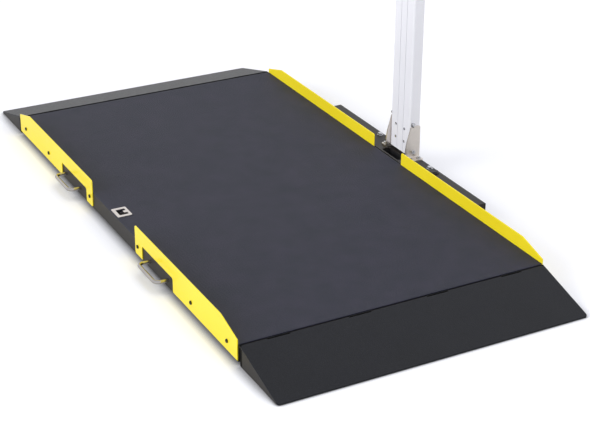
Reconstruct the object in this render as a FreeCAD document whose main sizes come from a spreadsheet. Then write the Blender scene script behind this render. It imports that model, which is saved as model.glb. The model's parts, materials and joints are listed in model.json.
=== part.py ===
import FreeCAD, Part
import os
from math import pi
from types import SimpleNamespace

import Sketcher
from FreeCAD import Placement, Rotation, Vector

# Portable platform scale with a folding column, in millimetres.
# X runs along the deck, from the far ramp to the near one. Y runs across it, from the carry
# handles to the column. Z points up from the floor. Everything is drawn about the middle of
# the deck, and each sub-part's Placement then moves it to the middle of the whole footprint.

DIMENSIONS = {
    # platform
    "deck_length": 1537,
    "deck_width": 864,
    "deck_top": 57,
    "mat_thickness": 3,
    "plate_thickness": 4,
    "skirt_bottom": 9,
    "channel_wall": 3,
    "channel_flange": 25,
    "rib_width": 30,
    "rib_pitch": 280,
    "fit_gap": 0.5,
    # guard rails
    "rail_thickness": 3,
    "rail_bottom": 13,
    "rail_top": 94,
    "rail_end_top": 69,
    "rail_slope": 90,
    "rail_gap_handle": 155,
    "rail_gap_column": 77,
    "cutout_start": 201,
    "cutout_end": 399,
    "cutout_top": 52,
    "screw_level": 39,
    "screw_radius": 3,
    # carry handles
    "handle_centre": 308.5,
    "handle_half": 57,
    "handle_reach": 36,
    "handle_level": 31,
    "handle_bar": 5,
    "handle_bend": 14,
    # keeper for the folded column
    "keeper_half": 27.5,
    "keeper_start": 388,
    "keeper_end": 430,
    "keeper_thickness": 2.5,
    "window_half": 17.5,
    "window_start": 395,
    "window_end": 421,
    "tongue_half": 6,
    "tongue_length": 9,
    # ramps
    "ramp_start": 8,
    "ramp_end": 197.5,
    "ramp_skin": 4.15,
    "ramp_tip_top": 5.5,
    "ramp_clearance": 2.5,
    "gusset_thickness": 4,
    "hinge_reach": 5.5,
    "hinge_drop": 4.5,
    "hinge_pin": 2.5,
    "knuckle_radius": 4.2,
    "knuckle_length": 20,
    "lug_pitch": 220,
    "buffer_level": 16,
    "buffer_radius": 7,
    # base channel behind the column-side rails
    "base_half": 406,
    "base_outer": 506,
    "base_bottom": 14,
    "well_half": 46,
    "well_start": 441,
    "well_end": 468,
    # transport wheels
    "wheel_place": 370,
    "wheel_offset": 492.5,
    "wheel_level": 27.5,
    "wheel_radius": 25,
    "wheel_half_width": 11,
    "hub_radius": 16,
    "axle_radius": 4,
    # bolts that hold the base channel, and the caps on its top
    "bolt_level": 30,
    "bolt_radius": 4,
    "bolt_head": 7.5,
    "anchor_place": 140,
    "anchor_offset": 492,
    "cap_place": 167,
    "cap_offset": 485,
    "cap_radius": 17,
    # column and its hinge
    "column_half_width": 52,
    "column_front": 474,
    "column_back": 510,
    "column_bottom": 65,
    "column_top": 1000,
    "column_wall": 2.5,
    "column_corner": 6,
    "groove_place": 15,
    "pivot_offset": 485,
    "pivot_level": 79,
    "bush_radius": 7,
    "insert_top": 150,
    "bracket_gap": 0.5,
    "bracket_thickness": 4,
    "bracket_back": 508,
    "bracket_top": 158,
    "foot_reach": 24,
    "lock_offset": 483,
    "lock_level": 165.2,
    "lock_radius": 3,
    "lock_travel": 7.2,
    "lock_neck": 4,
    "rivet_place": 23,
    "rivet_low": 101.5,
    "rivet_high": 142,
    "rivet_radius": 2,
    "bracket_bolt_place": 70,
    # latch hook on the column
    "hook_top": 984,
    "hook_front": 457,
    "hook_half": 5,
    # indicator head
    "head_half_width": 118,
    "head_bottom": 1026,
    "head_top": 1156,
    "head_front": 460,
    "head_split": 484,
    "head_back": 520,
    "head_wall": 3,
    "head_corner": 12,
    "tilt_offset": 492,
    "tilt_level": 1080,
    "window_half_width": 85,
    "window_low": 1086,
    "window_high": 1138,
    "key_pitch": 44,
    "key_level": 1051,
    "key_half_width": 15,
    "key_half_height": 10,
    "key_height": 2.5,
    "knob_radius": 12,
    "knob_length": 15.6,
    # load cells and feet
    "cell_inner": 600,
    "cell_outer": 730,
    "cell_offset": 375,
    "foot_radius": 22,
    "foot_height": 8,
    "box_wall": 3,
}

doc = FreeCAD.newDocument("platform_scale")
sheet = doc.addObject("Spreadsheet::Sheet", "sizes")
for row, (alias, number) in enumerate(DIMENSIONS.items(), start=1):
    sheet.set(f"A{row}", alias)
    sheet.set(f"B{row}", str(number))
    sheet.setAlias(f"B{row}", alias)
doc.recompute()


class Size:
    """A length that knows its number and the sheet formula that gives it."""

    def __init__(self, number, formula):
        self.number = float(number)
        self.formula = formula

    def __add__(self, other):
        other = as_size(other)
        return Size(self.number + other.number, f"({self.formula} + {other.formula})")

    def __sub__(self, other):
        other = as_size(other)
        return Size(self.number - other.number, f"({self.formula} - {other.formula})")

    def __rsub__(self, other):
        return as_size(other) - self

    def __mul__(self, factor):
        return Size(self.number * factor, f"({self.formula} * {factor})")

    def __neg__(self):
        return self * -1

    __radd__ = __add__
    __rmul__ = __mul__


def as_size(value):
    """A plain number as a Size."""
    return value if isinstance(value, Size) else Size(value, repr(value))


def ordered(span):
    """The two ends of a span, the lower one first."""
    return sorted((as_size(end) for end in span), key=lambda end: end.number)


s = SimpleNamespace(**{name: Size(value, f"sizes.{name}") for name, value in DIMENSIONS.items()})

# Places worked out from the driving dimensions.
deck_end = s.deck_length * 0.5
deck_side = s.deck_width * 0.5
mat_bottom = s.deck_top - s.mat_thickness
plate_bottom = mat_bottom - s.plate_thickness
beam_start = deck_end - s.channel_flange
handle_tip = deck_side + s.handle_reach + s.handle_bar
footprint_shift = (s.head_back - handle_tip) * -0.5

# --- Part primitives and booleans ---

TURNS = {"X": Rotation(Vector(0, 1, 0), 90), "Y": Rotation(Vector(1, 0, 0), -90), "Z": Rotation()}
bases = {}


def place(piece, x, y, z, rotation=Rotation()):
    """Bind a piece's position to formulas."""
    piece.Placement = Placement(Vector(), rotation)
    for letter, value in zip("xyz", (x, y, z)):
        piece.setExpression(f"Placement.Base.{letter}", as_size(value).formula)
    bases[piece.Name] = as_size(y)
    return piece


def block(x, y, z):
    """A box between two places on each axis."""
    piece = doc.addObject("Part::Box", "block")
    spans = [ordered(span) for span in (x, y, z)]
    for name, (low, high) in zip(("Length", "Width", "Height"), spans):
        piece.setExpression(name, (high - low).formula)
    return place(piece, *(low for low, high in spans))


def along(axis, span, u, v):
    """Length and base point of something that runs along an axis through (u, v)."""
    low, high = ordered(span)
    point = {"X": (low, u, v), "Y": (u, low, v), "Z": (u, v, low)}[axis]
    return high - low, point


def rod(axis, span, u, v, radius):
    """A round bar along an axis, centred on (u, v) in the other two axes."""
    piece = doc.addObject("Part::Cylinder", "rod")
    length, point = along(axis, span, u, v)
    piece.setExpression("Radius", as_size(radius).formula)
    piece.setExpression("Height", length.formula)
    return place(piece, *point, TURNS[axis])


def hexagon(axis, span, u, v, radius):
    """A six-sided bar, such as a nut or a bolt head, with its corner radius."""
    piece = doc.addObject("Part::Prism", "hexagon")
    piece.Polygon = 6
    length, point = along(axis, span, u, v)
    piece.setExpression("Circumradius", as_size(radius).formula)
    piece.setExpression("Height", length.formula)
    return place(piece, *point, TURNS[axis])


def join(*pieces):
    """One solid from several that overlap."""
    fused = doc.addObject("Part::MultiFuse", "joined")
    fused.Shapes = list(pieces)
    fused.Refine = True
    return fused


def cut(base, *tools):
    """A piece with other pieces taken out of it."""
    result = doc.addObject("Part::Cut", "cut")
    result.Base = base
    result.Tool = tools[0] if len(tools) == 1 else join(*tools)
    return result


def group(*pieces):
    """Separate solids that share one name, such as identical screws."""
    compound = doc.addObject("Part::Compound", "group")
    compound.Links = list(pieces)
    return compound


# --- PartDesign bodies ---

# Each plane's role, and the sign of its normal along the axis that it faces.
PLANES = {"XY": ("XY_Plane", 1), "XZ": ("XZ_Plane", -1), "YZ": ("YZ_Plane", 1)}


def new_body():
    return doc.addObject("PartDesign::Body", "body")


def sketch_at(body, plane, level):
    """A sketch parallel to one of the body's planes, at a level on the third axis."""
    role, sign = PLANES[plane]
    sketch = body.newObject("Sketcher::SketchObject", "outline")
    sketch.AttachmentSupport = [(next(f for f in body.Origin.OriginFeatures if f.Role == role), "")]
    sketch.MapMode = "FlatFace"
    sketch.setExpression("AttachmentOffset.Base.z", (as_size(level) * sign).formula)
    return sketch


def hold(sketch, kind, geometry, point, value):
    """Fix one coordinate or the radius of a sketch element, bound to a formula."""
    value = as_size(value)
    name = f"{kind.lower()}_{geometry}_{point}"
    if kind == "Radius":
        constraint = Sketcher.Constraint(kind, geometry, value.number)
    else:
        constraint = Sketcher.Constraint(kind, -1, 1, geometry, point, value.number)
    sketch.renameConstraint(sketch.addConstraint(constraint), name)
    sketch.setExpression(f"Constraints.{name}", value.formula)


def polygon(sketch, points):
    """A closed outline of straight lines."""
    points = [(as_size(u), as_size(v)) for u, v in points]
    ends = [Vector(u.number, v.number, 0) for u, v in points]
    first = sketch.GeometryCount
    count = len(points)
    for i in range(count):
        sketch.addGeometry(Part.LineSegment(ends[i], ends[(i + 1) % count]))
    for i in range(count):
        sketch.addConstraint(Sketcher.Constraint("Coincident", first + i, 2, first + (i + 1) % count, 1))
    for i, (u, v) in enumerate(points):
        hold(sketch, "DistanceX", first + i, 1, u)
        hold(sketch, "DistanceY", first + i, 1, v)


def rounded(sketch, u, v, radius):
    """A rectangle with round corners."""
    (left, right), (low, high) = ordered(u), ordered(v)
    r = as_size(radius)
    a, b, c, d = left.number, right.number, low.number, high.number
    n = r.number
    first = sketch.GeometryCount
    lines = [
        ((a + n, c), (b - n, c)), ((b, c + n), (b, d - n)),
        ((b - n, d), (a + n, d)), ((a, d - n), (a, c + n)),
    ]
    centres = [(b - n, c + n), (b - n, d - n), (a + n, d - n), (a + n, c + n)]
    for i in range(4):
        start, end = lines[i]
        sketch.addGeometry(Part.LineSegment(Vector(*start, 0), Vector(*end, 0)))
        circle_edge = Part.Circle(Vector(*centres[i], 0), Vector(0, 0, 1), n)
        sketch.addGeometry(Part.ArcOfCircle(circle_edge, (i - 1) * pi / 2, i * pi / 2))
    for i in range(4):
        line, arc, following = first + 2 * i, first + 2 * i + 1, first + (2 * i + 2) % 8
        sketch.addConstraint(Sketcher.Constraint("Tangent", line, 2, arc, 1))
        sketch.addConstraint(Sketcher.Constraint("Tangent", arc, 2, following, 1))
        sketch.addConstraint(Sketcher.Constraint("Vertical" if i % 2 else "Horizontal", line))
        if i:
            sketch.addConstraint(Sketcher.Constraint("Equal", first + 1, arc))
    hold(sketch, "Radius", first + 1, 0, r)
    hold(sketch, "DistanceY", first, 1, low)
    hold(sketch, "DistanceX", first + 2, 1, right)
    hold(sketch, "DistanceY", first + 4, 1, high)
    hold(sketch, "DistanceX", first + 6, 1, left)


def circle(sketch, u, v, radius):
    u, v, radius = as_size(u), as_size(v), as_size(radius)
    ring = Part.Circle(Vector(u.number, v.number, 0), Vector(0, 0, 1), radius.number)
    index = sketch.addGeometry(ring)
    hold(sketch, "DistanceX", index, 3, u)
    hold(sketch, "DistanceY", index, 3, v)
    hold(sketch, "Radius", index, 0, radius)


def pad(body, plane, span, *draws):
    """Fill an outline between two levels on the axis that the plane faces."""
    low, high = ordered(span)
    sketch = sketch_at(body, plane, high if plane == "XZ" else low)
    for draw in draws:
        draw(sketch)
    feature = body.newObject("PartDesign::Pad", "pad")
    feature.Profile = sketch
    feature.setExpression("Length", (high - low).formula)
    return body


def pocket(body, plane, span, *draws):
    """Cut an outline out between two levels, and make sure that it took something away."""
    doc.recompute()
    before = body.Shape.Volume
    low, high = ordered(span)
    sketch = sketch_at(body, plane, low if plane == "XZ" else high)
    for draw in draws:
        draw(sketch)
    feature = body.newObject("PartDesign::Pocket", "pocket")
    feature.Profile = sketch
    feature.setExpression("Length", (high - low).formula)
    doc.recompute()
    if body.Shape.Volume > before - 1e-6:
        raise RuntimeError(f"a pocket in {body.Name} cuts nothing")
    return body


def soften(body, radius, pick):
    """Fillet the edges that a test picks."""
    doc.recompute()
    base = body.Tip
    edges = [f"Edge{i}" for i, edge in enumerate(base.Shape.Edges, start=1) if pick(edge)]
    if not edges:
        raise RuntimeError(f"no edge to soften in {body.Name}")
    feature = body.newObject("PartDesign::Fillet", "fillet")
    feature.Base = (base, edges)
    feature.setExpression("Radius", as_size(radius).formula)
    doc.recompute()
    if "Invalid" in feature.State or feature.Shape.isNull():
        raise RuntimeError(f"a fillet of {radius} in {body.Name} fails")
    return body


def shape(draw, *arguments):
    """A drawing step to hand to pad or pocket."""
    return lambda sketch: draw(sketch, *arguments)


def on_line(axis, *corners):
    """A test for straight edges along an axis that pass near one of the given corners."""
    others = [i for i in range(3) if i != "XYZ".index(axis)]

    def test(edge):
        ends = [edge.Vertexes[0].Point, edge.Vertexes[-1].Point]
        run = ends[1] - ends[0]
        if not is_straight(edge) or abs(run[others[0]]) + abs(run[others[1]]) > 0.01:
            return False
        near = [[as_size(value).number for value in corner] for corner in corners]
        return any(all(abs(ends[0][i] - value) < 0.3 for i, value in zip(others, corner)) for corner in near)

    return test


def at_level(axis, level):
    """A test for edges that lie wholly at one level of an axis."""
    i = "XYZ".index(axis)
    number = as_size(level).number
    return lambda edge: all(abs(vertex.Point[i] - number) < 0.01 for vertex in edge.Vertexes)


def is_straight(edge):
    return edge.Curve.TypeId == "Part::GeomLine"


def is_whole_circle(edge):
    return edge.Curve.TypeId == "Part::GeomCircle" and edge.isClosed()


nodes = []


def keep(piece, label):
    """Name a finished sub-part and move it from the deck's middle to the footprint's."""
    piece.Label = label
    nodes.append(piece)
    return piece


# --- platform ---

SIDES = {"near": 1, "far": -1}
screw_stations = [715, 510, 174]
channel_bolt_stations = [330, 110]
handle_legs = [s.handle_centre - s.handle_half, s.handle_centre + s.handle_half]
both_ends = (-1, 1)


def make_deck():
    """The plate and the mat on it, both open where the column's hook goes down."""
    window = shape(rounded, (-s.window_half, s.window_half), (-s.window_end, -s.window_start), 2)
    for label, span in (("deck_plate", (plate_bottom, mat_bottom)), ("deck_mat", (mat_bottom, s.deck_top))):
        body = pad(new_body(), "XY", span, shape(rounded, (-deck_end, deck_end), (-deck_side, deck_side), 3))
        pocket(body, "XY", span, window)
        if label == "deck_mat":
            soften(body, 0.8, at_level("Z", s.deck_top))
        keep(body, label)


def side_channel(side, label, holes):
    """A C-section along one long side, open towards the middle."""
    web = deck_side - s.channel_wall
    lip = deck_side - s.channel_flange
    low, high = s.skirt_bottom, plate_bottom
    section = [
        (deck_side, low), (lip, low), (lip, low + s.channel_wall), (web, low + s.channel_wall),
        (web, high - s.channel_wall), (lip, high - s.channel_wall), (lip, high), (deck_side, high),
    ]
    half = beam_start - s.fit_gap
    body = pad(new_body(), "YZ", (-half, half), shape(polygon, [(y * side, z) for y, z in section]))
    drills = [shape(circle, x, z, radius) for x, z, radius in holes]
    pocket(body, "XZ", (web * side, deck_side * side), *drills)
    keep(body, label)


def make_frame():
    screws = [(x * end, s.screw_level, s.screw_radius + 0.2) for x in screw_stations for end in both_ends]
    legs = [(x * end, s.handle_level, s.handle_bar + 0.1) for x in handle_legs for end in both_ends]
    bolts = [(x * end, s.bolt_level, s.bolt_radius + 0.2) for x in channel_bolt_stations for end in both_ends]
    side_channel(-1, "side_channel_handle", screws + legs)
    side_channel(1, "side_channel_column", [hole for hole in screws if abs(hole[0]) > 400] + bolts)
    wall = s.channel_wall
    for name, end in SIDES.items():
        x = (beam_start * end, deck_end * end)
        inside = ((beam_start + wall) * end, (deck_end - wall) * end)
        beam = block(x, (-deck_side, deck_side), (s.skirt_bottom, plate_bottom))
        hollow = block(inside, (-deck_side - 1, deck_side + 1), (s.skirt_bottom + wall, plate_bottom - wall))
        keep(cut(beam, hollow), f"end_beam_{name}")
    ribs = []
    reach = deck_side - s.channel_flange - s.fit_gap
    for i in range(-2, 3):
        x = s.rib_pitch * i
        half = s.rib_width * 0.5
        outer = block((x - half, x + half), (-reach, reach), (s.skirt_bottom, plate_bottom))
        inner = block((x - half + wall, x + half - wall), (-reach - 1, reach + 1),
                      (s.skirt_bottom + wall, plate_bottom - wall))
        ribs.append(cut(outer, inner))
    keep(group(*ribs), "cross_ribs")


def guard_rail(end, side, start, holes, cutout, label):
    """A plate screwed to the deck's side, sloped down at the ramp and cut out over a handle."""
    far = deck_end - s.fit_gap
    top = [(far, s.rail_bottom), (far, s.rail_end_top), (far - s.rail_slope, s.rail_top), (start, s.rail_top)]
    outline = [(start, s.rail_bottom)]
    corners = [(start, s.rail_top), (start, s.rail_bottom)]
    if cutout:
        arch = [(s.cutout_start, s.cutout_top), (s.cutout_end, s.cutout_top)]
        outline += [(s.cutout_start, s.rail_bottom), *arch, (s.cutout_end, s.rail_bottom)]
        corners += arch
    outline = [(x * end, z) for x, z in outline + top]
    span = (deck_side * side, (deck_side + s.rail_thickness) * side)
    body = pad(new_body(), "XZ", span, shape(polygon, outline))
    soften(body, 6, on_line("Y", *[(x * end, z) for x, z in corners]))
    soften(body, 30, on_line("Y", ((far - s.rail_slope) * end, s.rail_top)))
    pocket(body, "XZ", span, *[shape(circle, x * end, z, radius) for x, z, radius in holes])
    outer_face = at_level("Y", (deck_side + s.rail_thickness) * side)
    inner_face = at_level("Y", deck_side * side)
    soften(body, 0.7, lambda edge: is_straight(edge) and (outer_face(edge) or inner_face(edge)))
    keep(body, label)


def make_rails():
    for name, end in SIDES.items():
        screws = [(x, s.screw_level, s.screw_radius + 0.2) for x in screw_stations]
        guard_rail(end, -1, s.rail_gap_handle, screws, True, f"rail_handle_{name}")
        bolts = [(x, s.bolt_level, s.bolt_radius + 0.2) for x in channel_bolt_stations]
        guard_rail(end, 1, s.rail_gap_column, screws[:2] + bolts, False, f"rail_column_{name}")
    screws = []
    for side in (-1, 1):
        face = (deck_side + s.rail_thickness) * side
        for x in screw_stations if side < 0 else screw_stations[:2]:
            for end in both_ends:
                head = rod("Y", (face, face + 3 * side), x * end, s.screw_level, 5)
                socket = hexagon("Y", (face + 1.2 * side, face + 4 * side), x * end, s.screw_level, 2.3)
                shank = rod("Y", (face - 14 * side, face), x * end, s.screw_level, s.screw_radius)
                screws.append(join(cut(head, socket), shank))
    keep(group(*screws), "rail_screws")


def carry_handle(end, label):
    """A round bar bent to a flat U, its two ends fastened through the side channel."""
    body = new_body()
    left, right = handle_legs
    root, grip = -deck_side + 8, -deck_side - s.handle_reach
    if end < 0:
        left, right = -right, -left
    bend = s.handle_bend
    spine = sketch_at(body, "XY", s.handle_level)
    a, b, y0, y1, r = left.number, right.number, root.number, grip.number, bend.number
    spine.addGeometry(Part.LineSegment(Vector(a, y0, 0), Vector(a, y1 + r, 0)))
    first_bend = Part.Circle(Vector(a + r, y1 + r, 0), Vector(0, 0, 1), r)
    spine.addGeometry(Part.ArcOfCircle(first_bend, pi, 1.5 * pi))
    spine.addGeometry(Part.LineSegment(Vector(a + r, y1, 0), Vector(b - r, y1, 0)))
    second_bend = Part.Circle(Vector(b - r, y1 + r, 0), Vector(0, 0, 1), r)
    spine.addGeometry(Part.ArcOfCircle(second_bend, 1.5 * pi, 2 * pi))
    spine.addGeometry(Part.LineSegment(Vector(b, y1 + r, 0), Vector(b, y0, 0)))
    for line, line_end, arc, arc_end in ((0, 2, 1, 1), (2, 1, 1, 2), (2, 2, 3, 1), (4, 1, 3, 2)):
        spine.addConstraint(Sketcher.Constraint("Tangent", line, line_end, arc, arc_end))
    spine.addConstraint(Sketcher.Constraint("Horizontal", 2))
    spine.addConstraint(Sketcher.Constraint("Equal", 1, 3))
    hold(spine, "Radius", 1, 0, bend)
    hold(spine, "DistanceX", 0, 1, left)
    hold(spine, "DistanceY", 0, 1, root)
    hold(spine, "DistanceY", 2, 1, grip)
    hold(spine, "DistanceX", 4, 2, right)
    hold(spine, "DistanceY", 4, 2, root)
    profile = sketch_at(body, "XZ", root)
    circle(profile, left, s.handle_level, s.handle_bar)
    pipe = body.newObject("PartDesign::AdditivePipe", "bent_bar")
    pipe.Profile = profile
    pipe.Spine = (spine, [f"Edge{i}" for i in range(1, 6)])
    keep(body, label)


def make_handles():
    nuts = []
    inside = -deck_side + s.channel_wall
    for name, end in SIDES.items():
        carry_handle(end, f"carry_handle_{name}")
        for x in handle_legs:
            nut = hexagon("Y", (inside, inside + 4.5), x * end, s.handle_level, 9.5)
            bore = rod("Y", (inside - 1, inside + 6), x * end, s.handle_level, s.handle_bar + 0.05)
            nuts.append(cut(nut, bore))
    keep(group(*nuts), "handle_nuts")


def make_keeper():
    """The plate that the folded column's hook catches: a window with a tongue in it."""
    span = (s.deck_top, s.deck_top + s.keeper_thickness)
    body = pad(new_body(), "XY", span,
               shape(rounded, (-s.keeper_half, s.keeper_half), (-s.keeper_end, -s.keeper_start), 4))
    low, high, half = -s.window_end, -s.window_start, s.window_half
    tip, width = high - s.tongue_length, s.tongue_half
    pocket(body, "XY", span, shape(polygon, [
        (-half, low), (half, low), (half, high), (width, high), (width, tip), (-width, tip), (-width, high),
        (-half, high),
    ]))
    soften(body, 0.6, at_level("Z", s.deck_top + s.keeper_thickness))
    keep(body, "keeper_plate")


# --- ramps ---


def ramp_top(x):
    """Height of the ramp's top face at a distance from the deck's end."""
    drop = s.deck_top.number - s.ramp_tip_top.number
    return s.deck_top - (x - s.ramp_start) * (drop / (s.ramp_end.number - s.ramp_start.number))


def make_ramp(end, name):
    """A sloping plate on gussets, which turns up about a pin along its top edge."""
    pin_x = deck_end + s.hinge_reach
    pin_z = s.deck_top - s.hinge_drop
    side = deck_side - s.fit_gap
    start, tip = deck_end + s.ramp_start, deck_end + s.ramp_end
    lugs = [s.lug_pitch * (i - 1.5) for i in range(4)]
    skin = [(start, s.deck_top), (tip, s.ramp_tip_top), (tip, s.ramp_tip_top - s.ramp_skin),
            (start, s.deck_top - s.ramp_skin)]
    body = pad(new_body(), "XZ", (-side, side), shape(polygon, [(x * end, z) for x, z in skin]))
    half = s.knuckle_length * 0.5
    relief = half + s.knuckle_length + 1
    notch = ((start - 1) * end, (start + 3) * end)
    cuts = [(y - relief, y + relief) for y in lugs]
    cuts += [((side - 6) * way, (side + 2) * way) for way in both_ends]
    pocket(body, "XY", (s.deck_top - 10, s.deck_top + 1), *[shape(rounded, notch, y, 0.8) for y in cuts])
    soften(body, 8, on_line("Z", (tip * end, side), (tip * end, -side)))
    soften(body, 1.2, on_line("Y", (tip * end, s.ramp_tip_top)))
    keep(body, f"ramp_{name}_plate")

    # gussets and ribs, each a triangle under the plate, and the knuckles that carry the pin
    parts = []
    back = s.ramp_start + 0.7
    nose = s.ramp_end - 7

    def under(x):
        return ramp_top(x) - s.ramp_skin - 0.1

    triangle = [(back, under(back)), (back, s.ramp_clearance), (nose, s.ramp_clearance), (nose, under(nose))]
    for y in (-side, -s.rib_pitch * 0.5, s.rib_pitch * 0.5, side - s.gusset_thickness):
        rib = pad(new_body(), "XZ", (y, y + s.gusset_thickness),
                  shape(polygon, [((deck_end + x) * end, z) for x, z in triangle]))
        if abs(y.number) > 400:
            ear = rod("Y", (y, y + s.gusset_thickness), pin_x * end, pin_z, s.knuckle_radius)
            web = block((pin_x * end, (deck_end + back + 3) * end), (y, y + s.gusset_thickness),
                        (pin_z - 12, pin_z - 0.2))
            hole = rod("Y", (y - 1, y + s.gusset_thickness + 1), pin_x * end, pin_z, s.hinge_pin + 0.02)
            parts.append(cut(join(rib, ear, web), hole))
        else:
            parts.append(rib)
    arm = [(0, s.knuckle_radius), (2.4, s.knuckle_radius), (2.4, 0.1), (16, -3.6), (16, -7), (0, -7)]
    for lug in lugs:
        for way in (-1, 1):
            y = (lug + (half + s.fit_gap) * way, lug + (half + s.knuckle_length) * way)
            plate = pad(new_body(), "XZ", y, shape(polygon, [((pin_x + x) * end, pin_z + z) for x, z in arm]))
            barrel = rod("Y", y, pin_x * end, pin_z, s.knuckle_radius)
            bore = rod("Y", (lug - 40, lug + 40), pin_x * end, pin_z, s.hinge_pin + 0.02)
            parts.append(cut(join(plate, barrel), bore))
    keep(group(*parts), f"ramp_{name}_frame")
    keep(rod("Y", (-deck_side + 0.2, deck_side - 0.2), pin_x * end, pin_z, s.hinge_pin), f"ramp_{name}_pin")

    hangers, buffers = [], []
    for lug in lugs:
        y = (lug - half, lug + half)
        plate = block((deck_end * end, pin_x * end), y, (pin_z - 9, pin_z))
        barrel = rod("Y", y, pin_x * end, pin_z, s.knuckle_radius)
        bore = rod("Y", (lug - half - 1, lug + half + 1), pin_x * end, pin_z, s.hinge_pin + 0.06)
        hangers.append(cut(join(plate, barrel), bore))
    for y in (-s.rib_pitch * 0.5, s.rib_pitch * 0.5):
        buffers.append(rod("X", (deck_end * end, (deck_end + back - 0.3) * end), y + s.gusset_thickness * 0.5,
                           s.buffer_level, s.buffer_radius))
    return hangers, buffers


def make_ramps():
    hangers, buffers = [], []
    for name, end in SIDES.items():
        more_hangers, more_buffers = make_ramp(end, name)
        hangers += more_hangers
        buffers += more_buffers
    keep(group(*hangers), "hinge_lugs")
    keep(group(*buffers), "ramp_buffers")


# --- base channel, wheels and column bracket ---

base_inner = deck_side + s.rail_thickness


def make_base_channel():
    """A folded sheet channel, open underneath, that carries the column and the wheels."""
    wall = s.channel_wall
    top = s.deck_top
    section = [
        (base_inner, s.base_bottom), (base_inner + wall, s.base_bottom),
        (base_inner + wall, top - wall), (s.base_outer - wall, top - wall),
        (s.base_outer - wall, s.base_bottom), (s.base_outer, s.base_bottom),
        (s.base_outer, top), (base_inner, top),
    ]
    body = pad(new_body(), "YZ", (-s.base_half, s.base_half), shape(polygon, section))
    for end in both_ends:
        inside = ((base_inner + wall - 1, s.base_outer - wall + 1), (s.base_bottom, top - 1))
        pad(body, "YZ", ((s.base_half - wall) * end, s.base_half * end), shape(block_outline, *inside))
    pocket(body, "XY", (top - wall, top),
           shape(rounded, (-s.well_half, s.well_half), (s.well_start, s.well_end), 5))
    slots = []
    for end in both_ends:
        half = s.wheel_half_width + 2
        x = ((s.wheel_place - half) * end, (s.wheel_place + half) * end)
        slots.append(shape(block_outline, x, (s.base_bottom - 1, top - wall)))
    pocket(body, "XZ", (s.base_outer - wall, s.base_outer), *slots)
    holes = [(x * end, s.bolt_level, s.bolt_radius + 0.2) for x in channel_bolt_stations for end in both_ends]
    pocket(body, "XZ", (base_inner, base_inner + wall), *[shape(circle, *hole) for hole in holes])
    soften(body, 2, on_line("X", (s.base_outer, top)))
    keep(body, "base_channel")

    fasteners = []
    for end in both_ends:
        for x in channel_bolt_stations:
            line = (x * end, s.bolt_level)
            head = hexagon("Y", (base_inner + wall, base_inner + wall + 5), *line, s.bolt_head)
            shank = rod("Y", (deck_side - 16, base_inner + wall), *line, s.bolt_radius)
            fasteners.append(join(head, shank))
        line = (s.anchor_place * end, s.anchor_offset)
        washer = rod("Z", (top, top + 1.5), *line, s.bolt_head + 1.5)
        head = hexagon("Z", (top + 1.5, top + 6.5), *line, s.bolt_head)
        fasteners.append(join(washer, head))
    keep(group(*fasteners), "base_channel_bolts")

    line = (s.cap_place, s.cap_offset)
    brim = rod("Z", (top, top + 3), *line, s.cap_radius)
    keep(join(brim, rod("Z", (top + 3, top + 6), *line, s.cap_radius - 4.5)), "cable_entry_cap")


def block_outline(sketch, u, v):
    """A plain rectangle."""
    (left, right), (low, high) = ordered(u), ordered(v)
    polygon(sketch, [(left, low), (right, low), (right, high), (left, high)])


def make_wheels():
    axles, cheeks = [], []
    y, z = s.wheel_offset, s.wheel_level
    for name, end in SIDES.items():
        half = s.wheel_half_width
        inner_face, outer_face = s.wheel_place - half, s.wheel_place + half
        span = (inner_face * end, outer_face * end)
        middle = ((inner_face + 4) * end, (outer_face - 4) * end)
        tyre = cut(rod("X", span, y, z, s.wheel_radius), rod("X", span, y, z, s.hub_radius))
        hub = join(rod("X", middle, y, z, s.hub_radius - 0.01), rod("X", span, y, z, 8))
        hub = cut(hub, rod("X", ((inner_face - 9) * end, (outer_face + 9) * end), y, z, s.axle_radius + 0.05))
        keep(group(tyre, hub), f"transport_wheel_{name}")
        for way in both_ends:
            inner = s.wheel_place + (half + 1) * way
            outer = inner + 3 * way
            up = (s.base_bottom, s.deck_top - s.channel_wall)
            plate = block((inner * end, outer * end), (y - 20, y + 9), up)
            hole = rod("X", ((inner - 5) * end, (inner + 5) * end), y, z, s.axle_radius + 0.1)
            cheeks.append(cut(plate, hole))
        shank = rod("X", ((inner_face - 4) * end, (outer_face + 4) * end), y, z, s.axle_radius)
        head = rod("X", ((inner_face - 6) * end, (inner_face - 4) * end), y, z, s.axle_radius + 2.5)
        nut = hexagon("X", ((outer_face + 4) * end, (outer_face + 8) * end), y, z, s.axle_radius + 3)
        axles.append(join(shank, head, nut))
    keep(group(*cheeks), "wheel_cheeks")
    keep(group(*axles), "wheel_axles")


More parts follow.
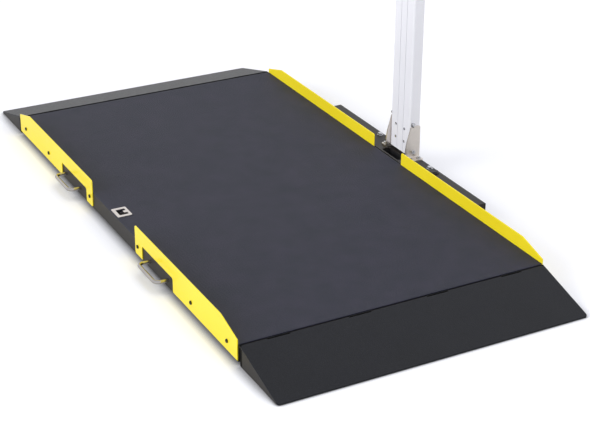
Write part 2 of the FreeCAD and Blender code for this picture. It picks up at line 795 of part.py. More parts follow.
def make_bracket(end, label):
    """A stainless cheek beside the column, bent outwards at the foot and notched for the lock."""
    inner = s.column_half_width + s.bracket_gap
    outer = inner + s.bracket_thickness
    back, low, top = s.bracket_back, s.deck_top, s.bracket_top
    front = s.pivot_offset - 25
    profile = [(front, low), (back, low), (back, top), (s.lock_offset - 6, top), (front + 4, low + 53),
               (front, low + 28)]
    body = pad(new_body(), "YZ", (inner * end, outer * end), shape(polygon, profile))
    foot_x = (inner * end, (outer + s.foot_reach) * end)
    pad(body, "XY", (low, low + s.bracket_thickness), shape(block_outline, foot_x, (front, back)))
    across = (inner * end, outer * end)
    pocket(body, "YZ", across, shape(circle, s.pivot_offset, s.pivot_level, 4.2))
    pocket(body, "YZ", across, shape(slot_mouth, s.lock_offset, top, s.lock_radius + 0.4))
    place_x = s.bracket_bolt_place * end
    bolts = [(place_x, front + 9), (place_x, back - 11)]
    pocket(body, "XY", (low, low + s.bracket_thickness), *[shape(circle, x, y, 3.3) for x, y in bolts])
    soften(body, 6, on_line("Z", ((outer + s.foot_reach) * end, front), ((outer + s.foot_reach) * end, back)))
    soften(body, 5, on_line("X", (back, top)))
    soften(body, 1.5, on_line("X", (s.lock_offset - 6, top)))
    soften(body, 3, on_line("Y", (outer * end, low + s.bracket_thickness)))
    return keep(body, label)


def slot_mouth(sketch, y, top, radius):
    """A half-round notch that is open at the top."""
    y, top, radius = as_size(y), as_size(top), as_size(radius)
    polygon_top = [(y - radius, top + 3), (y - radius, top), (y + radius, top), (y + radius, top + 3)]
    ends = [Vector(u.number, v.number, 0) for u, v in polygon_top]
    sketch.addGeometry(Part.LineSegment(ends[0], ends[1]))
    bowl = Part.Circle(Vector(y.number, top.number, 0), Vector(0, 0, 1), radius.number)
    sketch.addGeometry(Part.ArcOfCircle(bowl, pi, 2 * pi))
    sketch.addGeometry(Part.LineSegment(ends[2], ends[3]))
    sketch.addGeometry(Part.LineSegment(ends[3], ends[0]))
    sketch.addConstraint(Sketcher.Constraint("Tangent", 0, 2, 1, 1))
    sketch.addConstraint(Sketcher.Constraint("Tangent", 1, 2, 2, 1))
    sketch.addConstraint(Sketcher.Constraint("Coincident", 2, 2, 3, 1))
    sketch.addConstraint(Sketcher.Constraint("Coincident", 3, 2, 0, 1))
    sketch.addConstraint(Sketcher.Constraint("Vertical", 0))
    hold(sketch, "Radius", 1, 0, radius)
    hold(sketch, "DistanceX", 1, 3, y)
    hold(sketch, "DistanceY", 1, 3, top)
    hold(sketch, "DistanceY", 0, 1, top + 3)
    hold(sketch, "DistanceY", 2, 2, top + 3)


def make_column_hinge():
    for name, end in SIDES.items():
        make_bracket(end, f"bracket_{name}")
    bolts = []
    low = s.deck_top + s.bracket_thickness
    for end in both_ends:
        for y in (s.pivot_offset - 16, s.bracket_back - 11):
            line = (s.bracket_bolt_place * end, y)
            head = hexagon("Z", (low + 1.2, low + 5.2), *line, 6)
            washer = rod("Z", (low, low + 1.2), *line, 7)
            shank = rod("Z", (low - s.bracket_thickness, low), *line, 3)
            bolts.append(join(head, washer, shank))
    keep(group(*bolts), "bracket_bolts")
    outer = s.column_half_width + s.bracket_gap + s.bracket_thickness
    y, z = s.pivot_offset, s.pivot_level
    head = rod("X", (outer, outer + 4.5), y, z, 6.5)
    socket = hexagon("X", (outer + 2, outer + 6), y, z, 2.9)
    shank = rod("X", (-outer - 8, outer), y, z, 4)
    nut = hexagon("X", (-outer - 6, -outer), y, z, 7.5)
    keep(join(cut(head, socket), shank, nut), "pivot_bolt")


# --- column ---


def make_column():
    half, wall = s.column_half_width, s.column_wall
    front, back = s.column_front, s.column_back
    tube = pad(new_body(), "XY", (s.column_bottom, s.column_top),
               shape(rounded, (-half, half), (front, back), s.column_corner))
    bore = ((-half + wall, half - wall), (front + wall, back - wall))
    pocket(tube, "XY", (s.column_bottom, s.column_top), shape(rounded, *bore, s.column_corner - wall))
    grooves = [shape(block_outline, (x - 0.8, x + 0.8), (front - 1, front + 1))
               for x in (-s.groove_place, s.groove_place)]
    pocket(tube, "XY", (s.column_bottom, s.column_top), *grooves)
    across = (-half, half)
    pocket(tube, "YZ", across, shape(circle, s.pivot_offset, s.pivot_level, s.bush_radius + 0.05))
    slot = s.lock_radius + 0.2
    low, high = s.lock_level - s.lock_travel, s.lock_level
    pin_slot = (low - slot - 0.3, high + slot + 0.3)
    pocket(tube, "YZ", across, shape(rounded, (s.lock_offset - slot, s.lock_offset + slot), pin_slot, 3))
    neck = s.lock_neck + 0.4
    pocket(tube, "XZ", (back - wall, back), shape(rounded, (-neck, neck), (low - neck, high + neck), 1))
    rivets = [(s.rivet_place * end, z) for end in both_ends for z in (s.rivet_low, s.rivet_high)]
    drills = [shape(circle, x, z, s.rivet_radius + 0.1) for x, z in rivets]
    pocket(tube, "XZ", (front, front + wall), *drills)
    foot_rim = at_level("Z", s.column_bottom)
    soften(tube, 0.6, lambda edge: foot_rim(edge) and edge.Length > 20)
    keep(tube, "column_tube")

    clear = 0.2
    inside = [(low_end + clear, high_end - clear) for low_end, high_end in bore]
    insert = pad(new_body(), "XY", (s.column_bottom + 1, s.insert_top), shape(rounded, *inside, 3))
    pocket(insert, "YZ", across, shape(circle, s.pivot_offset, s.pivot_level, s.bush_radius + 0.05))
    pocket(insert, "XY", (s.column_bottom + 1, s.insert_top), shape(circle, 0, back - 10.5, 5))
    pocket(insert, "XZ", (front + wall, front + wall + 9), *drills)
    keep(insert, "column_foot_insert")

    rivet_solids = []
    for x, z in rivets:
        dome = cut(join(rod("Y", (front - 0.8, front), x, z, 4), rod("Y", (front - 1.4, front), x, z, 3)),
                   rod("Y", (front - 2, front - 0.9), x, z, 1.2))
        rivet_solids.append(join(dome, rod("Y", (front, front + wall + 8), x, z, s.rivet_radius)))
    keep(group(*rivet_solids), "column_rivets")

    bushes = []
    for end in both_ends:
        outer = rod("X", (30 * end, (half + 0.3) * end), s.pivot_offset, s.pivot_level, s.bush_radius)
        bushes.append(cut(outer, rod("X", (29 * end, (half + 1) * end), s.pivot_offset, s.pivot_level, 4.06)))
    keep(group(*bushes), "pivot_bushes")

    cap = pad(new_body(), "XY", (s.column_top, s.column_top + 6),
              shape(rounded, (-half, half), (front, back), s.column_corner))
    pad(cap, "XY", (s.column_top - 15, s.column_top), shape(rounded, *inside, 3))
    pocket(cap, "XY", (s.column_top - 15, s.column_top + 6), shape(circle, 0, s.tilt_offset, 7))
    rim = at_level("Z", s.column_top + 6)
    soften(cap, 2, lambda edge: rim(edge) and not is_whole_circle(edge))
    keep(cap, "column_cap")


def make_lock():
    """A pin across both brackets, drawn lifted out of their notches, and the grip that moves it."""
    y, z = s.lock_offset, s.lock_level
    reach = s.column_half_width + s.bracket_gap + s.bracket_thickness + 0.5
    ends = [rod("X", (reach * end, (reach + 3) * end), y, z, 5) for end in both_ends]
    keep(join(rod("X", (-reach - 1, reach + 1), y, z, s.lock_radius), *ends), "lock_pin")
    back = s.column_back
    neck = block((-s.lock_neck, s.lock_neck), (y - 5, back + 0.3), (z - s.lock_neck, z + s.lock_neck))
    plate = pad(new_body(), "XZ", (back + 0.3, back + 3.5), shape(rounded, (-16, 16), (z - 6, z + 26), 4))
    ledge = block((-13, 13), (back + 2, back + 7), (z + 17, z + 20))
    bore = rod("X", (-10, 10), y, z, s.lock_radius + 0.05)
    keep(cut(join(neck, plate, ledge), bore), "lock_grip")


def make_latch():
    """A hook that slides along the column and catches the keeper's tongue when it is folded."""
    front = s.column_front
    top = s.hook_top
    slide = (front - 3.6, front - 0.4)
    bar = block((-12.5, 12.5), slide, (top - 60, top))
    tab = block((-12.5, 12.5), (front - 8.5, front - 0.4), (top - 60, top - 54))
    stem = block((-s.hook_half, s.hook_half), (s.hook_front, front - 0.4), (top - 6, top))
    toe = block((-s.hook_half, s.hook_half), (s.hook_front, s.hook_front + 5), (top - 15, top - 5))
    keep(join(bar, tab, stem, toe), "latch_slider")
    guide = pad(new_body(), "XY", (top - 40, top - 18), shape(polygon, [
        (-17, front), (-17, front - 6), (17, front - 6), (17, front), (13, front), (13, front - 4),
        (-13, front - 4), (-13, front),
    ]))
    soften(guide, 1.5, on_line("Z", (-17, front - 6), (17, front - 6)))
    keep(guide, "latch_guide")


# --- indicator head ---

KEYS = ("power", "zero", "hold", "unit")


def make_yoke():
    half, wall = s.head_half_width + 4, 4
    low = s.column_top + 6
    top = s.tilt_level + 18
    y = (s.tilt_offset - 15, s.tilt_offset + 15)
    outline = [(-half - wall, low), (half + wall, low), (half + wall, top), (half, top), (half, low + wall),
               (-half, low + wall), (-half, top), (-half - wall, top)]
    body = pad(new_body(), "XZ", y, shape(polygon, outline))
    pocket(body, "YZ", (-half - wall, half + wall), shape(circle, s.tilt_offset, s.tilt_level, 4.2))
    pocket(body, "XY", (low, low + wall), shape(circle, 0, s.tilt_offset, 7))
    arm_top = at_level("Z", top)
    soften(body, 12, lambda edge: arm_top(edge) and edge.BoundBox.XLength > 1)
    soften(body, 4, on_line("Y", (half + wall, low), (-half - wall, low)))
    keep(body, "head_yoke")


def case_half(span, wall_span, windows, bosses):
    """One half of the case: a tray with a wall all round, and what passes through its face."""
    w, wall = s.head_half_width, s.head_wall
    outer = ((-w, w), (s.head_bottom, s.head_top))
    inner = ((-w + wall, w - wall), (s.head_bottom + wall, s.head_top - wall))
    body = pad(new_body(), "XZ", span, shape(rounded, *outer, s.head_corner))
    pocket(body, "XZ", wall_span, shape(rounded, *inner, s.head_corner - wall))
    if bosses:
        pad(body, "XZ", bosses, *[shape(circle, x, z, 5) for x, z in case_bosses])
    if windows:
        pocket(body, "XZ", span, *windows)
    return body


case_bosses = [(x, z) for x in (-104, 104) for z in (1041, 1142)]


def make_head():
    front, split, back, wall = s.head_front, s.head_split, s.head_back, s.head_wall
    w = s.head_half_width
    key_places = {name: s.key_pitch * (i - 1.5) for i, name in enumerate(KEYS)}

    def key_outline(x, margin):
        across, up = s.key_half_width + margin, s.key_half_height + margin
        return shape(rounded, (x - across, x + across), (s.key_level - up, s.key_level + up), 4)

    def window_outline(margin):
        half = s.window_half_width + margin
        return shape(rounded, (-half, half), (s.window_low - margin, s.window_high + margin), 4)

    windows = [window_outline(0)] + [key_outline(x, 0.4) for x in key_places.values()]
    shell = case_half((front, split), (front + wall, split), windows, (front + wall, split))
    face = at_level("Y", front)
    low, high = s.head_bottom.number, s.head_top.number

    def on_rim(edge):
        middle = edge.BoundBox.Center
        return abs(middle.x) > w.number - 4 or middle.z < low + 4 or middle.z > high - 4

    soften(shell, 3, lambda edge: face(edge) and on_rim(edge))
    keep(shell, "head_front_case")

    rear = case_half((split, back), (split, back - wall), [], (split, back - wall))
    trunnion = (s.tilt_offset, s.tilt_level)
    for end in both_ends:
        pad(rear, "YZ", ((w - 16) * end, (w - 1) * end), shape(circle, *trunnion, 7.8))
        pad(rear, "YZ", (w * end, (w + 2) * end), shape(circle, *trunnion, 7.8))
    pocket(rear, "YZ", (-w - 2, w + 2), shape(circle, *trunnion, 4.1))
    soften(rear, 4, at_level("Y", back))
    keep(rear, "head_rear_case")

    behind = front + wall
    keep(pad(new_body(), "XZ", (behind, behind + 2), window_outline(4)), "head_window")
    display = block((-s.window_half_width + 5, s.window_half_width - 5), (behind + 2.2, behind + 9),
                    (s.window_low + 2, s.window_high - 2))
    keep(display, "display_module")
    board_half, board_margin = w - 26, wall + 7
    board = block((-board_half, board_half), (behind + 11, behind + 12.6),
                  (s.head_bottom + board_margin, s.head_top - board_margin))
    keep(board, "circuit_board")
    battery = block((-60, 60), (split + 8, back - wall - 3), (s.head_bottom + 10, s.head_bottom + 42))
    keep(battery, "battery_pack")

    for name, x in key_places.items():
        key = pad(new_body(), "XZ", (front - s.key_height, behind + 0.5), key_outline(x, 0))
        pad(key, "XZ", (behind + 0.4, behind + 2), key_outline(x, 2))
        soften(key, 1.2, at_level("Y", front - s.key_height))
        keep(key, f"key_{name}")

    for name, end in SIDES.items():
        ear = w + 8
        y, z = s.tilt_offset, s.tilt_level
        tip = ear + 0.4 + s.knob_length
        grip = rod("X", ((ear + 0.4) * end, tip * end), y, z, s.knob_radius)
        scallops = []
        for turn in range(6):
            away = Rotation(Vector(1, 0, 0), 60 * turn).multVec(Vector(0, 0, 1))
            middle = s.knob_radius + 4
            line = (y + middle * away.y, z + middle * away.z)
            scallops.append(rod("X", ((ear + 3) * end, (tip + 1) * end), *line, 5))
        stud = rod("X", ((w - 14) * end, (ear + 1) * end), y, z, 4)
        keep(join(cut(grip, *scallops), stud), f"tilt_knob_{name}")


# --- weighing parts ---


def make_weighing():
    cells, feet = [], []
    for end in both_ends:
        for side in both_ends:
            y = s.cell_offset * side
            span = (s.cell_inner * end, s.cell_outer * end)
            bar = block(span, (y - 15, y + 15), (20, 45))
            mounted = (s.cell_inner * end, (s.cell_inner + 40) * end)
            seat = block(mounted, (y - 15, y + 15), (45, plate_bottom))
            middle = (s.cell_inner + 68)
            weak = [rod("Y", (y - 16, y + 16), (middle + x) * end, 32.5, 8) for x in (-9, 9)]
            stud_hole = rod("Z", (19, 40), (s.cell_outer - 15) * end, y, 5.1)
            cells.append(cut(join(bar, seat), *weak, stud_hole))
            x = (s.cell_outer - 15) * end
            foot = join(rod("Z", (0, s.foot_height - 3), x, y, s.foot_radius),
                        rod("Z", (s.foot_height - 3, s.foot_height), x, y, s.foot_radius - 6),
                        rod("Z", (s.foot_height, 38), x, y, 5), hexagon("Z", (14, 19.8), x, y, 9))
            feet.append(foot)
    keep(group(*cells), "load_cells")
    keep(group(*feet), "levelling_feet")
    low, high = (100, 290, s.skirt_bottom + 10), (210, 370, plate_bottom)
    shell = block(*zip(low, high))
    hollow = block(*[(start + s.box_wall, stop - s.box_wall) for start, stop in zip(low, high)])
    keep(cut(shell, hollow), "junction_box")


make_deck()
make_frame()
make_rails()
make_handles()
make_keeper()
make_ramps()
make_base_channel()
make_wheels()
make_column_hinge()
make_column()
make_lock()
make_latch()
make_yoke()
make_head()
make_weighing()

for piece in nodes:
    base = bases.get(piece.Name, as_size(0))
    piece.setExpression("Placement.Base.y", (base + footprint_shift).formula)
doc.recompute()

for item in doc.Objects:
    if "Invalid" in item.State or "Error" in item.State:
        raise RuntimeError(f"{item.Name} ({item.Label}) is {item.State}")
labels = [piece.Label for piece in nodes]
if len(set(labels)) != len(labels) or len(labels) > 60:
    raise RuntimeError("labels repeat, or there are too many sub-parts")

os.makedirs("parts", exist_ok=True)
for piece in nodes:
    solid = piece.Shape
    if solid.isNull() or not solid.isValid() or not solid.Solids:
        raise RuntimeError(f"{piece.Label} has no valid shape")
    solid.exportStep(f"parts/{piece.Label}.step")
    box = solid.BoundBox
    print(f"{piece.Label}: {len(solid.Solids)} solids, {solid.Volume / 1000:.1f} cm3, "
          f"x {box.XMin:.1f}..{box.XMax:.1f}, y {box.YMin:.1f}..{box.YMax:.1f}, "
          f"z {box.ZMin:.1f}..{box.ZMax:.1f}")
print(len(nodes), "sub-parts")
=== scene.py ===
# %% [markdown]
# # A portable platform scale, dressed in Blender
#
# The object is a low weighing platform for wheelchairs and stretchers: a rubber-covered deck
# between two folding ramps, yellow guard rails, steel carry handles and a white folding column
# with an indicator head. Every load-bearing part arrives finished from CAD at its real size, in
# metres, and this script never moves one. What is left is what the eye reads: the finishes, the
# ribs of the mat, the tread of the wheels, the marks on the keys and the light.

# %% Load the frame, with a helper that measures the box of a part
import json
from math import cos, pi, radians, sin

import bmesh
import bpy
from mathutils import Matrix, Vector


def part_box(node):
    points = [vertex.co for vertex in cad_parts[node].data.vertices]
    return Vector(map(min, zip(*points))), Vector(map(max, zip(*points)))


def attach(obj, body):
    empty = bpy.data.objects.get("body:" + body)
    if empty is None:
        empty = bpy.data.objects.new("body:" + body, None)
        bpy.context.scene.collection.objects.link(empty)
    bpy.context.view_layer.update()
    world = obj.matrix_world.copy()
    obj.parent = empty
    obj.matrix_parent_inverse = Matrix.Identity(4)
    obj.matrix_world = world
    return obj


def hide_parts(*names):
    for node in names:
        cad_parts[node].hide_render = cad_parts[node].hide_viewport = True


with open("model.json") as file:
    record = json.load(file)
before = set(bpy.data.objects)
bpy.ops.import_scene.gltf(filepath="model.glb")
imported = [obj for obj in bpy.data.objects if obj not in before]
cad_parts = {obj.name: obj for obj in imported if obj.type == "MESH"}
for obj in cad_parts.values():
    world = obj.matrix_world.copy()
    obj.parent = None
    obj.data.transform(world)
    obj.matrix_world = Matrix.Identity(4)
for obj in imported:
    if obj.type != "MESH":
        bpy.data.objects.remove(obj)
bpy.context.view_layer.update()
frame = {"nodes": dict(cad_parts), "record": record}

nodes = frame["nodes"]

# %% [markdown]
# ## Small helpers for shaders
#
# Every finish is a node tree that starts from Object coordinates, which are metres here, so a
# scale of 1000 in a noise texture means features about a millimetre across. The helpers below
# only save typing: they turn a colour picked on a screen into the linear numbers that a shader
# wants, make a node and fill its inputs, link two sockets, and do the two sums used most.

# %% Helpers: colours, nodes and links


def linear(red, green, blue):
    """A screen colour, 0 to 255 a channel, as linear light with alpha 1."""
    def channel(value):
        value /= 255
        return value / 12.92 if value <= 0.04045 else ((value + 0.055) / 1.055) ** 2.4
    return (channel(red), channel(green), channel(blue), 1.0)


def add_node(tree, kind, **settings):
    """A new node. Settings are its properties, or its inputs where the name has capitals."""
    node = tree.nodes.new(kind)
    for name, value in settings.items():
        if name[0].isupper():
            node.inputs[name.replace("_", " ")].default_value = value
        else:
            setattr(node, name, value)
    return node


def link(tree, start, end):
    tree.links.new(start, end)


def ranged(tree, value, **settings):
    """A value stretched from one range to another, by default from 0 to 1."""
    node = add_node(tree, "ShaderNodeMapRange", **settings)
    link(tree, value, node.inputs["Value"])
    return node.outputs["Result"]


def product(tree, first, second):
    """Two values multiplied."""
    node = add_node(tree, "ShaderNodeMath", operation="MULTIPLY")
    link(tree, first, node.inputs[0])
    link(tree, second, node.inputs[1])
    return node.outputs["Value"]


print("a mid grey of 128 is", round(linear(128, 128, 128)[0], 3), "in linear light")

# %% [markdown]
# ## Effects that several finishes share
#
# Grain, worn edges, settled dust and brushing turn up on more than one material, so each is a
# node group with named inputs, built once. A group puts out masks, heights and normals only.
# The Principled shader stays in each material, where an exporter can find it.

# %% A maker for node trees with named sockets


def new_tree(name, kind, inputs, outputs):
    """A node tree and its two end nodes. A socket is (name, type) or (name, type, default)."""
    made = bpy.data.node_groups.new(name, kind)
    for direction, sockets in (("INPUT", inputs), ("OUTPUT", outputs)):
        for label, socket_type, *default in sockets:
            socket = made.interface.new_socket(label, in_out=direction, socket_type=socket_type)
            if default:
                socket.default_value = default[0]
    return made, made.nodes.new("NodeGroupInput"), made.nodes.new("NodeGroupOutput")


def new_group(name, inputs, outputs):
    """A shader group, for an effect that several materials share."""
    return new_tree(name, "ShaderNodeTree", inputs, outputs)


VALUE, VECTOR = "NodeSocketFloat", "NodeSocketVector"
print("new_tree() and new_group() are ready")

# %% Grain: two sizes of noise, as in powder coat, cast plastic and rubber
grain, inside, outside = new_group(
    "grain", [("Vector", VECTOR), ("Scale", VALUE, 900.0), ("Cloud", VALUE, 6.0)],
    [("Fine", VALUE), ("Broad", VALUE)])
fine = add_node(grain, "ShaderNodeTexNoise", Detail=3.0, Roughness=0.6)
broad = add_node(grain, "ShaderNodeTexNoise", Detail=4.0, Roughness=0.55)
link(grain, inside.outputs["Vector"], fine.inputs["Vector"])
link(grain, inside.outputs["Scale"], fine.inputs["Scale"])
link(grain, inside.outputs["Vector"], broad.inputs["Vector"])
link(grain, inside.outputs["Cloud"], broad.inputs["Scale"])
link(grain, fine.outputs["Fac"], outside.inputs["Fine"])
link(grain, broad.outputs["Fac"], outside.inputs["Broad"])
print("group", grain.name, "puts out", [socket.name for socket in outside.inputs if socket.name])

# %% Edge wear: where the rounded normal leaves the true one, broken up by noise
edge_wear, inside, outside = new_group(
    "edge wear", [("Vector", VECTOR), ("Width", VALUE, 0.0012), ("Amount", VALUE, 0.5)],
    [("Mask", VALUE), ("Normal", VECTOR)])
bevel = add_node(edge_wear, "ShaderNodeBevel", samples=4)
link(edge_wear, inside.outputs["Width"], bevel.inputs["Radius"])
geometry = add_node(edge_wear, "ShaderNodeNewGeometry")
turned = add_node(edge_wear, "ShaderNodeVectorMath", operation="DOT_PRODUCT")
link(edge_wear, bevel.outputs["Normal"], turned.inputs[0])
link(edge_wear, geometry.outputs["Normal"], turned.inputs[1])
near_edge = ranged(edge_wear, turned.outputs["Value"], From_Min=0.985, From_Max=0.80)
chips = add_node(edge_wear, "ShaderNodeTexNoise", Scale=140.0, Detail=5.0, Roughness=0.7)
link(edge_wear, inside.outputs["Vector"], chips.inputs["Vector"])
broken = ranged(edge_wear, chips.outputs["Fac"], From_Min=0.45, From_Max=0.7)
chipped = product(edge_wear, near_edge, broken)
link(edge_wear, product(edge_wear, chipped, inside.outputs["Amount"]), outside.inputs["Mask"])
link(edge_wear, bevel.outputs["Normal"], outside.inputs["Normal"])
print("group", edge_wear.name, "rounds the normals of edges and masks their chips")

# %% Dust: a pale film on what faces up, patchy like noise
dust, inside, outside = new_group(
    "dust", [("Vector", VECTOR), ("Amount", VALUE, 0.2)], [("Mask", VALUE)])
geometry = add_node(dust, "ShaderNodeNewGeometry")
split = add_node(dust, "ShaderNodeSeparateXYZ")
link(dust, geometry.outputs["Normal"], split.inputs["Vector"])
upward = ranged(dust, split.outputs["Z"], From_Min=0.3, From_Max=1.0)
patches = add_node(dust, "ShaderNodeTexNoise", Scale=9.0, Detail=6.0, Roughness=0.65)
link(dust, inside.outputs["Vector"], patches.inputs["Vector"])
settled = product(dust, upward, patches.outputs["Fac"])
link(dust, product(dust, settled, inside.outputs["Amount"]), outside.inputs["Mask"])
print("group", dust.name, "settles on faces that point up")

# %% Brushing: noise stretched into long scratches along one axis
brushing, inside, outside = new_group(
    "brushing", [("Vector", VECTOR), ("Stretch", VECTOR, (8.0, 900.0, 900.0))],
    [("Scratches", VALUE), ("Smudges", VALUE)])
stretched = add_node(brushing, "ShaderNodeVectorMath", operation="MULTIPLY")
link(brushing, inside.outputs["Vector"], stretched.inputs[0])
link(brushing, inside.outputs["Stretch"], stretched.inputs[1])
scratches = add_node(brushing, "ShaderNodeTexNoise", Scale=1.0, Detail=4.0, Roughness=0.7)
link(brushing, stretched.outputs["Vector"], scratches.inputs["Vector"])
smudges = add_node(brushing, "ShaderNodeTexNoise", Scale=35.0, Detail=3.0)
link(brushing, inside.outputs["Vector"], smudges.inputs["Vector"])
link(brushing, scratches.outputs["Fac"], outside.inputs["Scratches"])
link(brushing, smudges.outputs["Fac"], outside.inputs["Smudges"])
print("group", brushing.name, "runs along X by default")

# %% [markdown]
# ## Building a finish
#
# A painted, moulded or rolled surface is built the same way each time: a base colour that drifts
# a little over the surface, a roughness that follows the grain, a small bump from the same
# grain, and worn edges where the paint is thin. One maker takes those as arguments, so each
# finish below reads as a short recipe, and none of them is a single flat colour.

# %% The maker that the finishes share


def placed(tree, group, coordinates, **inputs):
    """A group placed in a material, fed with Object coordinates."""
    node = tree.nodes.new("ShaderNodeGroup")
    node.node_tree = group
    link(tree, coordinates, node.inputs["Vector"])
    for name, value in inputs.items():
        node.inputs[name].default_value = value
    return node


def mixed(tree, mask, low, high):
    """One colour fading to another by a mask. Each colour is a socket or four numbers."""
    mix = add_node(tree, "ShaderNodeMix", data_type="RGBA")
    link(tree, mask, mix.inputs["Factor"])
    for socket, colour in ((mix.inputs[6], low), (mix.inputs[7], high)):
        if isinstance(colour, tuple):
            socket.default_value = colour
        else:
            link(tree, colour, socket)
    return mix.outputs[2]


dust_colour = linear(176, 172, 166)


def finish(name, dark, light, roughness, grain_scale=900.0, cloud=6.0, bump=0.15, depth=0.0004,
           metallic=0.0, coat=0.0, worn=None, wear=0.0, edge=0.0010, film=0.0, specular=0.5,
           fleck=None, flecked=0.0):
    """A surface whose colour drifts from dark to light, with grain, worn edges and a dust film."""
    material = bpy.data.materials.new(name)
    material.use_nodes = True
    tree = material.node_tree
    shader = tree.nodes["Principled BSDF"]
    coordinates = add_node(tree, "ShaderNodeTexCoord").outputs["Object"]
    grained = placed(tree, grain, coordinates, Scale=grain_scale, Cloud=cloud)
    drift = ranged(tree, grained.outputs["Broad"], From_Min=0.3, From_Max=0.7)
    colour = mixed(tree, drift, dark, light)
    if fleck:
        flecks = ranged(tree, grained.outputs["Fine"], From_Min=0.48, From_Max=0.72, To_Max=flecked)
        colour = mixed(tree, flecks, colour, fleck)
    worn_at = placed(tree, edge_wear, coordinates, Width=edge, Amount=wear)
    if wear:
        colour = mixed(tree, worn_at.outputs["Mask"], colour, worn)
    if film:
        settled = placed(tree, dust, coordinates, Amount=film)
        colour = mixed(tree, settled.outputs["Mask"], colour, dust_colour)
    link(tree, colour, shader.inputs["Base Color"])
    rough = ranged(tree, grained.outputs["Fine"], From_Min=0.25, From_Max=0.75,
                   To_Min=max(roughness - 0.07, 0.02), To_Max=min(roughness + 0.07, 1.0))
    link(tree, rough, shader.inputs["Roughness"])
    shader.inputs["Metallic"].default_value = metallic
    shader.inputs["Specular IOR Level"].default_value = specular
    shader.inputs["Coat Weight"].default_value = coat
    shader.inputs["Coat Roughness"].default_value = 0.12
    raised = add_node(tree, "ShaderNodeBump", Strength=bump, Distance=depth)
    link(tree, grained.outputs["Fine"], raised.inputs["Height"])
    link(tree, worn_at.outputs["Normal"], raised.inputs["Normal"])
    link(tree, raised.outputs["Normal"], shader.inputs["Normal"])
    return material


def metal(name, tint, dull, roughness, stretch=(8.0, 900.0, 900.0), spread=0.12):
    """Bare metal, brushed along the axis that the noise is stretched least on, with faint smudges."""
    material = bpy.data.materials.new(name)
    material.use_nodes = True
    tree = material.node_tree
    shader = tree.nodes["Principled BSDF"]
    coordinates = add_node(tree, "ShaderNodeTexCoord").outputs["Object"]
    brushed = placed(tree, brushing, coordinates, Stretch=stretch)
    rounded = placed(tree, edge_wear, coordinates, Width=0.0006, Amount=0.0)
    link(tree, mixed(tree, brushed.outputs["Smudges"], tint, dull), shader.inputs["Base Color"])
    rough = ranged(tree, brushed.outputs["Scratches"], From_Min=0.3, From_Max=0.7,
                   To_Min=max(roughness - spread, 0.03), To_Max=roughness + spread)
    link(tree, rough, shader.inputs["Roughness"])
    shader.inputs["Metallic"].default_value = 1.0
    raised = add_node(tree, "ShaderNodeBump", Strength=0.1, Distance=0.0002)
    link(tree, brushed.outputs["Scratches"], raised.inputs["Height"])
    link(tree, rounded.outputs["Normal"], raised.inputs["Normal"])
    link(tree, raised.outputs["Normal"], shader.inputs["Normal"])
    return material


print("the makers finish() and metal() are ready")

# %% [markdown]
# ## The finishes
#
# The platform is black in three ways: a slightly blue rubber mat, a warmer satin powder coat on
# the steel, and a gritty non-slip coat on the ramps. The yellow is a glossy powder coat, smooth
# enough to mirror the handles, so its roughness is low. The column is white powder coat on an
# extrusion, and the hinge brackets are plain brushed stainless.

# %% Black rubber, black steel and the ramps' grit
mat_rubber = finish("mat_rubber", linear(26, 30, 44), linear(39, 38, 54), 0.55, grain_scale=330,
                    cloud=16, bump=0.35, depth=0.0006, film=0.02, specular=0.4,
                    fleck=linear(74, 74, 88), flecked=0.35)
black_steel = finish("black_powder_coat", linear(34, 31, 29), linear(42, 39, 36), 0.42,
                     grain_scale=1100, bump=0.2, worn=linear(120, 115, 108), wear=0.25, film=0.02,
                     specular=0.28)
ramp_grit = finish("non_slip_coat", linear(4, 6, 12), linear(8, 10, 18), 0.42, grain_scale=400,
                   cloud=5, bump=0.5, depth=0.0009, film=0.01, specular=0.33,
                   fleck=linear(46, 47, 56), flecked=0.35)
oxide_screw = finish("black_oxide", linear(28, 27, 27), linear(36, 35, 35), 0.38, bump=0.1,
                     metallic=0.6, edge=0.0004)
# Painted shade: the hinge lugs in the seam get a matte near-black colour, so the seam reads as a shaded
# gap.
painted_seam_shade = finish("painted_seam_shade", linear(9, 9, 10), linear(13, 13, 14), 0.8, specular=0.1)
rubber = finish("moulded_rubber", linear(30, 30, 31), linear(38, 38, 39), 0.7, grain_scale=1500,
                bump=0.2, film=0.08)
print("black finishes:", mat_rubber.name, black_steel.name, ramp_grit.name, oxide_screw.name)

# %% [markdown]
# The ramp frames are black steel too, with painted shade at the seam where they hinge on the deck,
# so that the seam looks black. Their material is a copy of the black steel whose colour and gloss
# fade out towards the hinge, to a matte near black, by the distance from the middle of the platform.

# %% Black steel with painted shade at the hinge
# Painted shade: the frames turn matte near black towards the hinge seam, where the gap is dark.
shade_ends, unshaded_from = 0.783, 0.790
painted_hinge_shade, steel_roughness = linear(4, 4, 4), 0.42
shaded_hinge_steel = black_steel.copy()
shaded_hinge_steel.name = "steel_with_painted_hinge_shade"
tree = shaded_hinge_steel.node_tree
shader = tree.nodes["Principled BSDF"]
along = add_node(tree, "ShaderNodeSeparateXYZ")
link(tree, add_node(tree, "ShaderNodeTexCoord").outputs["Object"], along.inputs["Vector"])
off_middle = add_node(tree, "ShaderNodeMath", operation="ABSOLUTE")
link(tree, along.outputs["X"], off_middle.inputs[0])
unshaded = ranged(tree, off_middle.outputs["Value"], From_Min=shade_ends, From_Max=unshaded_from,
               interpolation_type="SMOOTHSTEP")
steel_colour = shader.inputs["Base Color"].links[0].from_socket
link(tree, mixed(tree, unshaded, painted_hinge_shade, steel_colour), shader.inputs["Base Color"])
link(tree, ranged(tree, unshaded, To_Min=0.95, To_Max=steel_roughness), shader.inputs["Roughness"])
print(shaded_hinge_steel.name, "is clean from", unshaded_from, "m out")

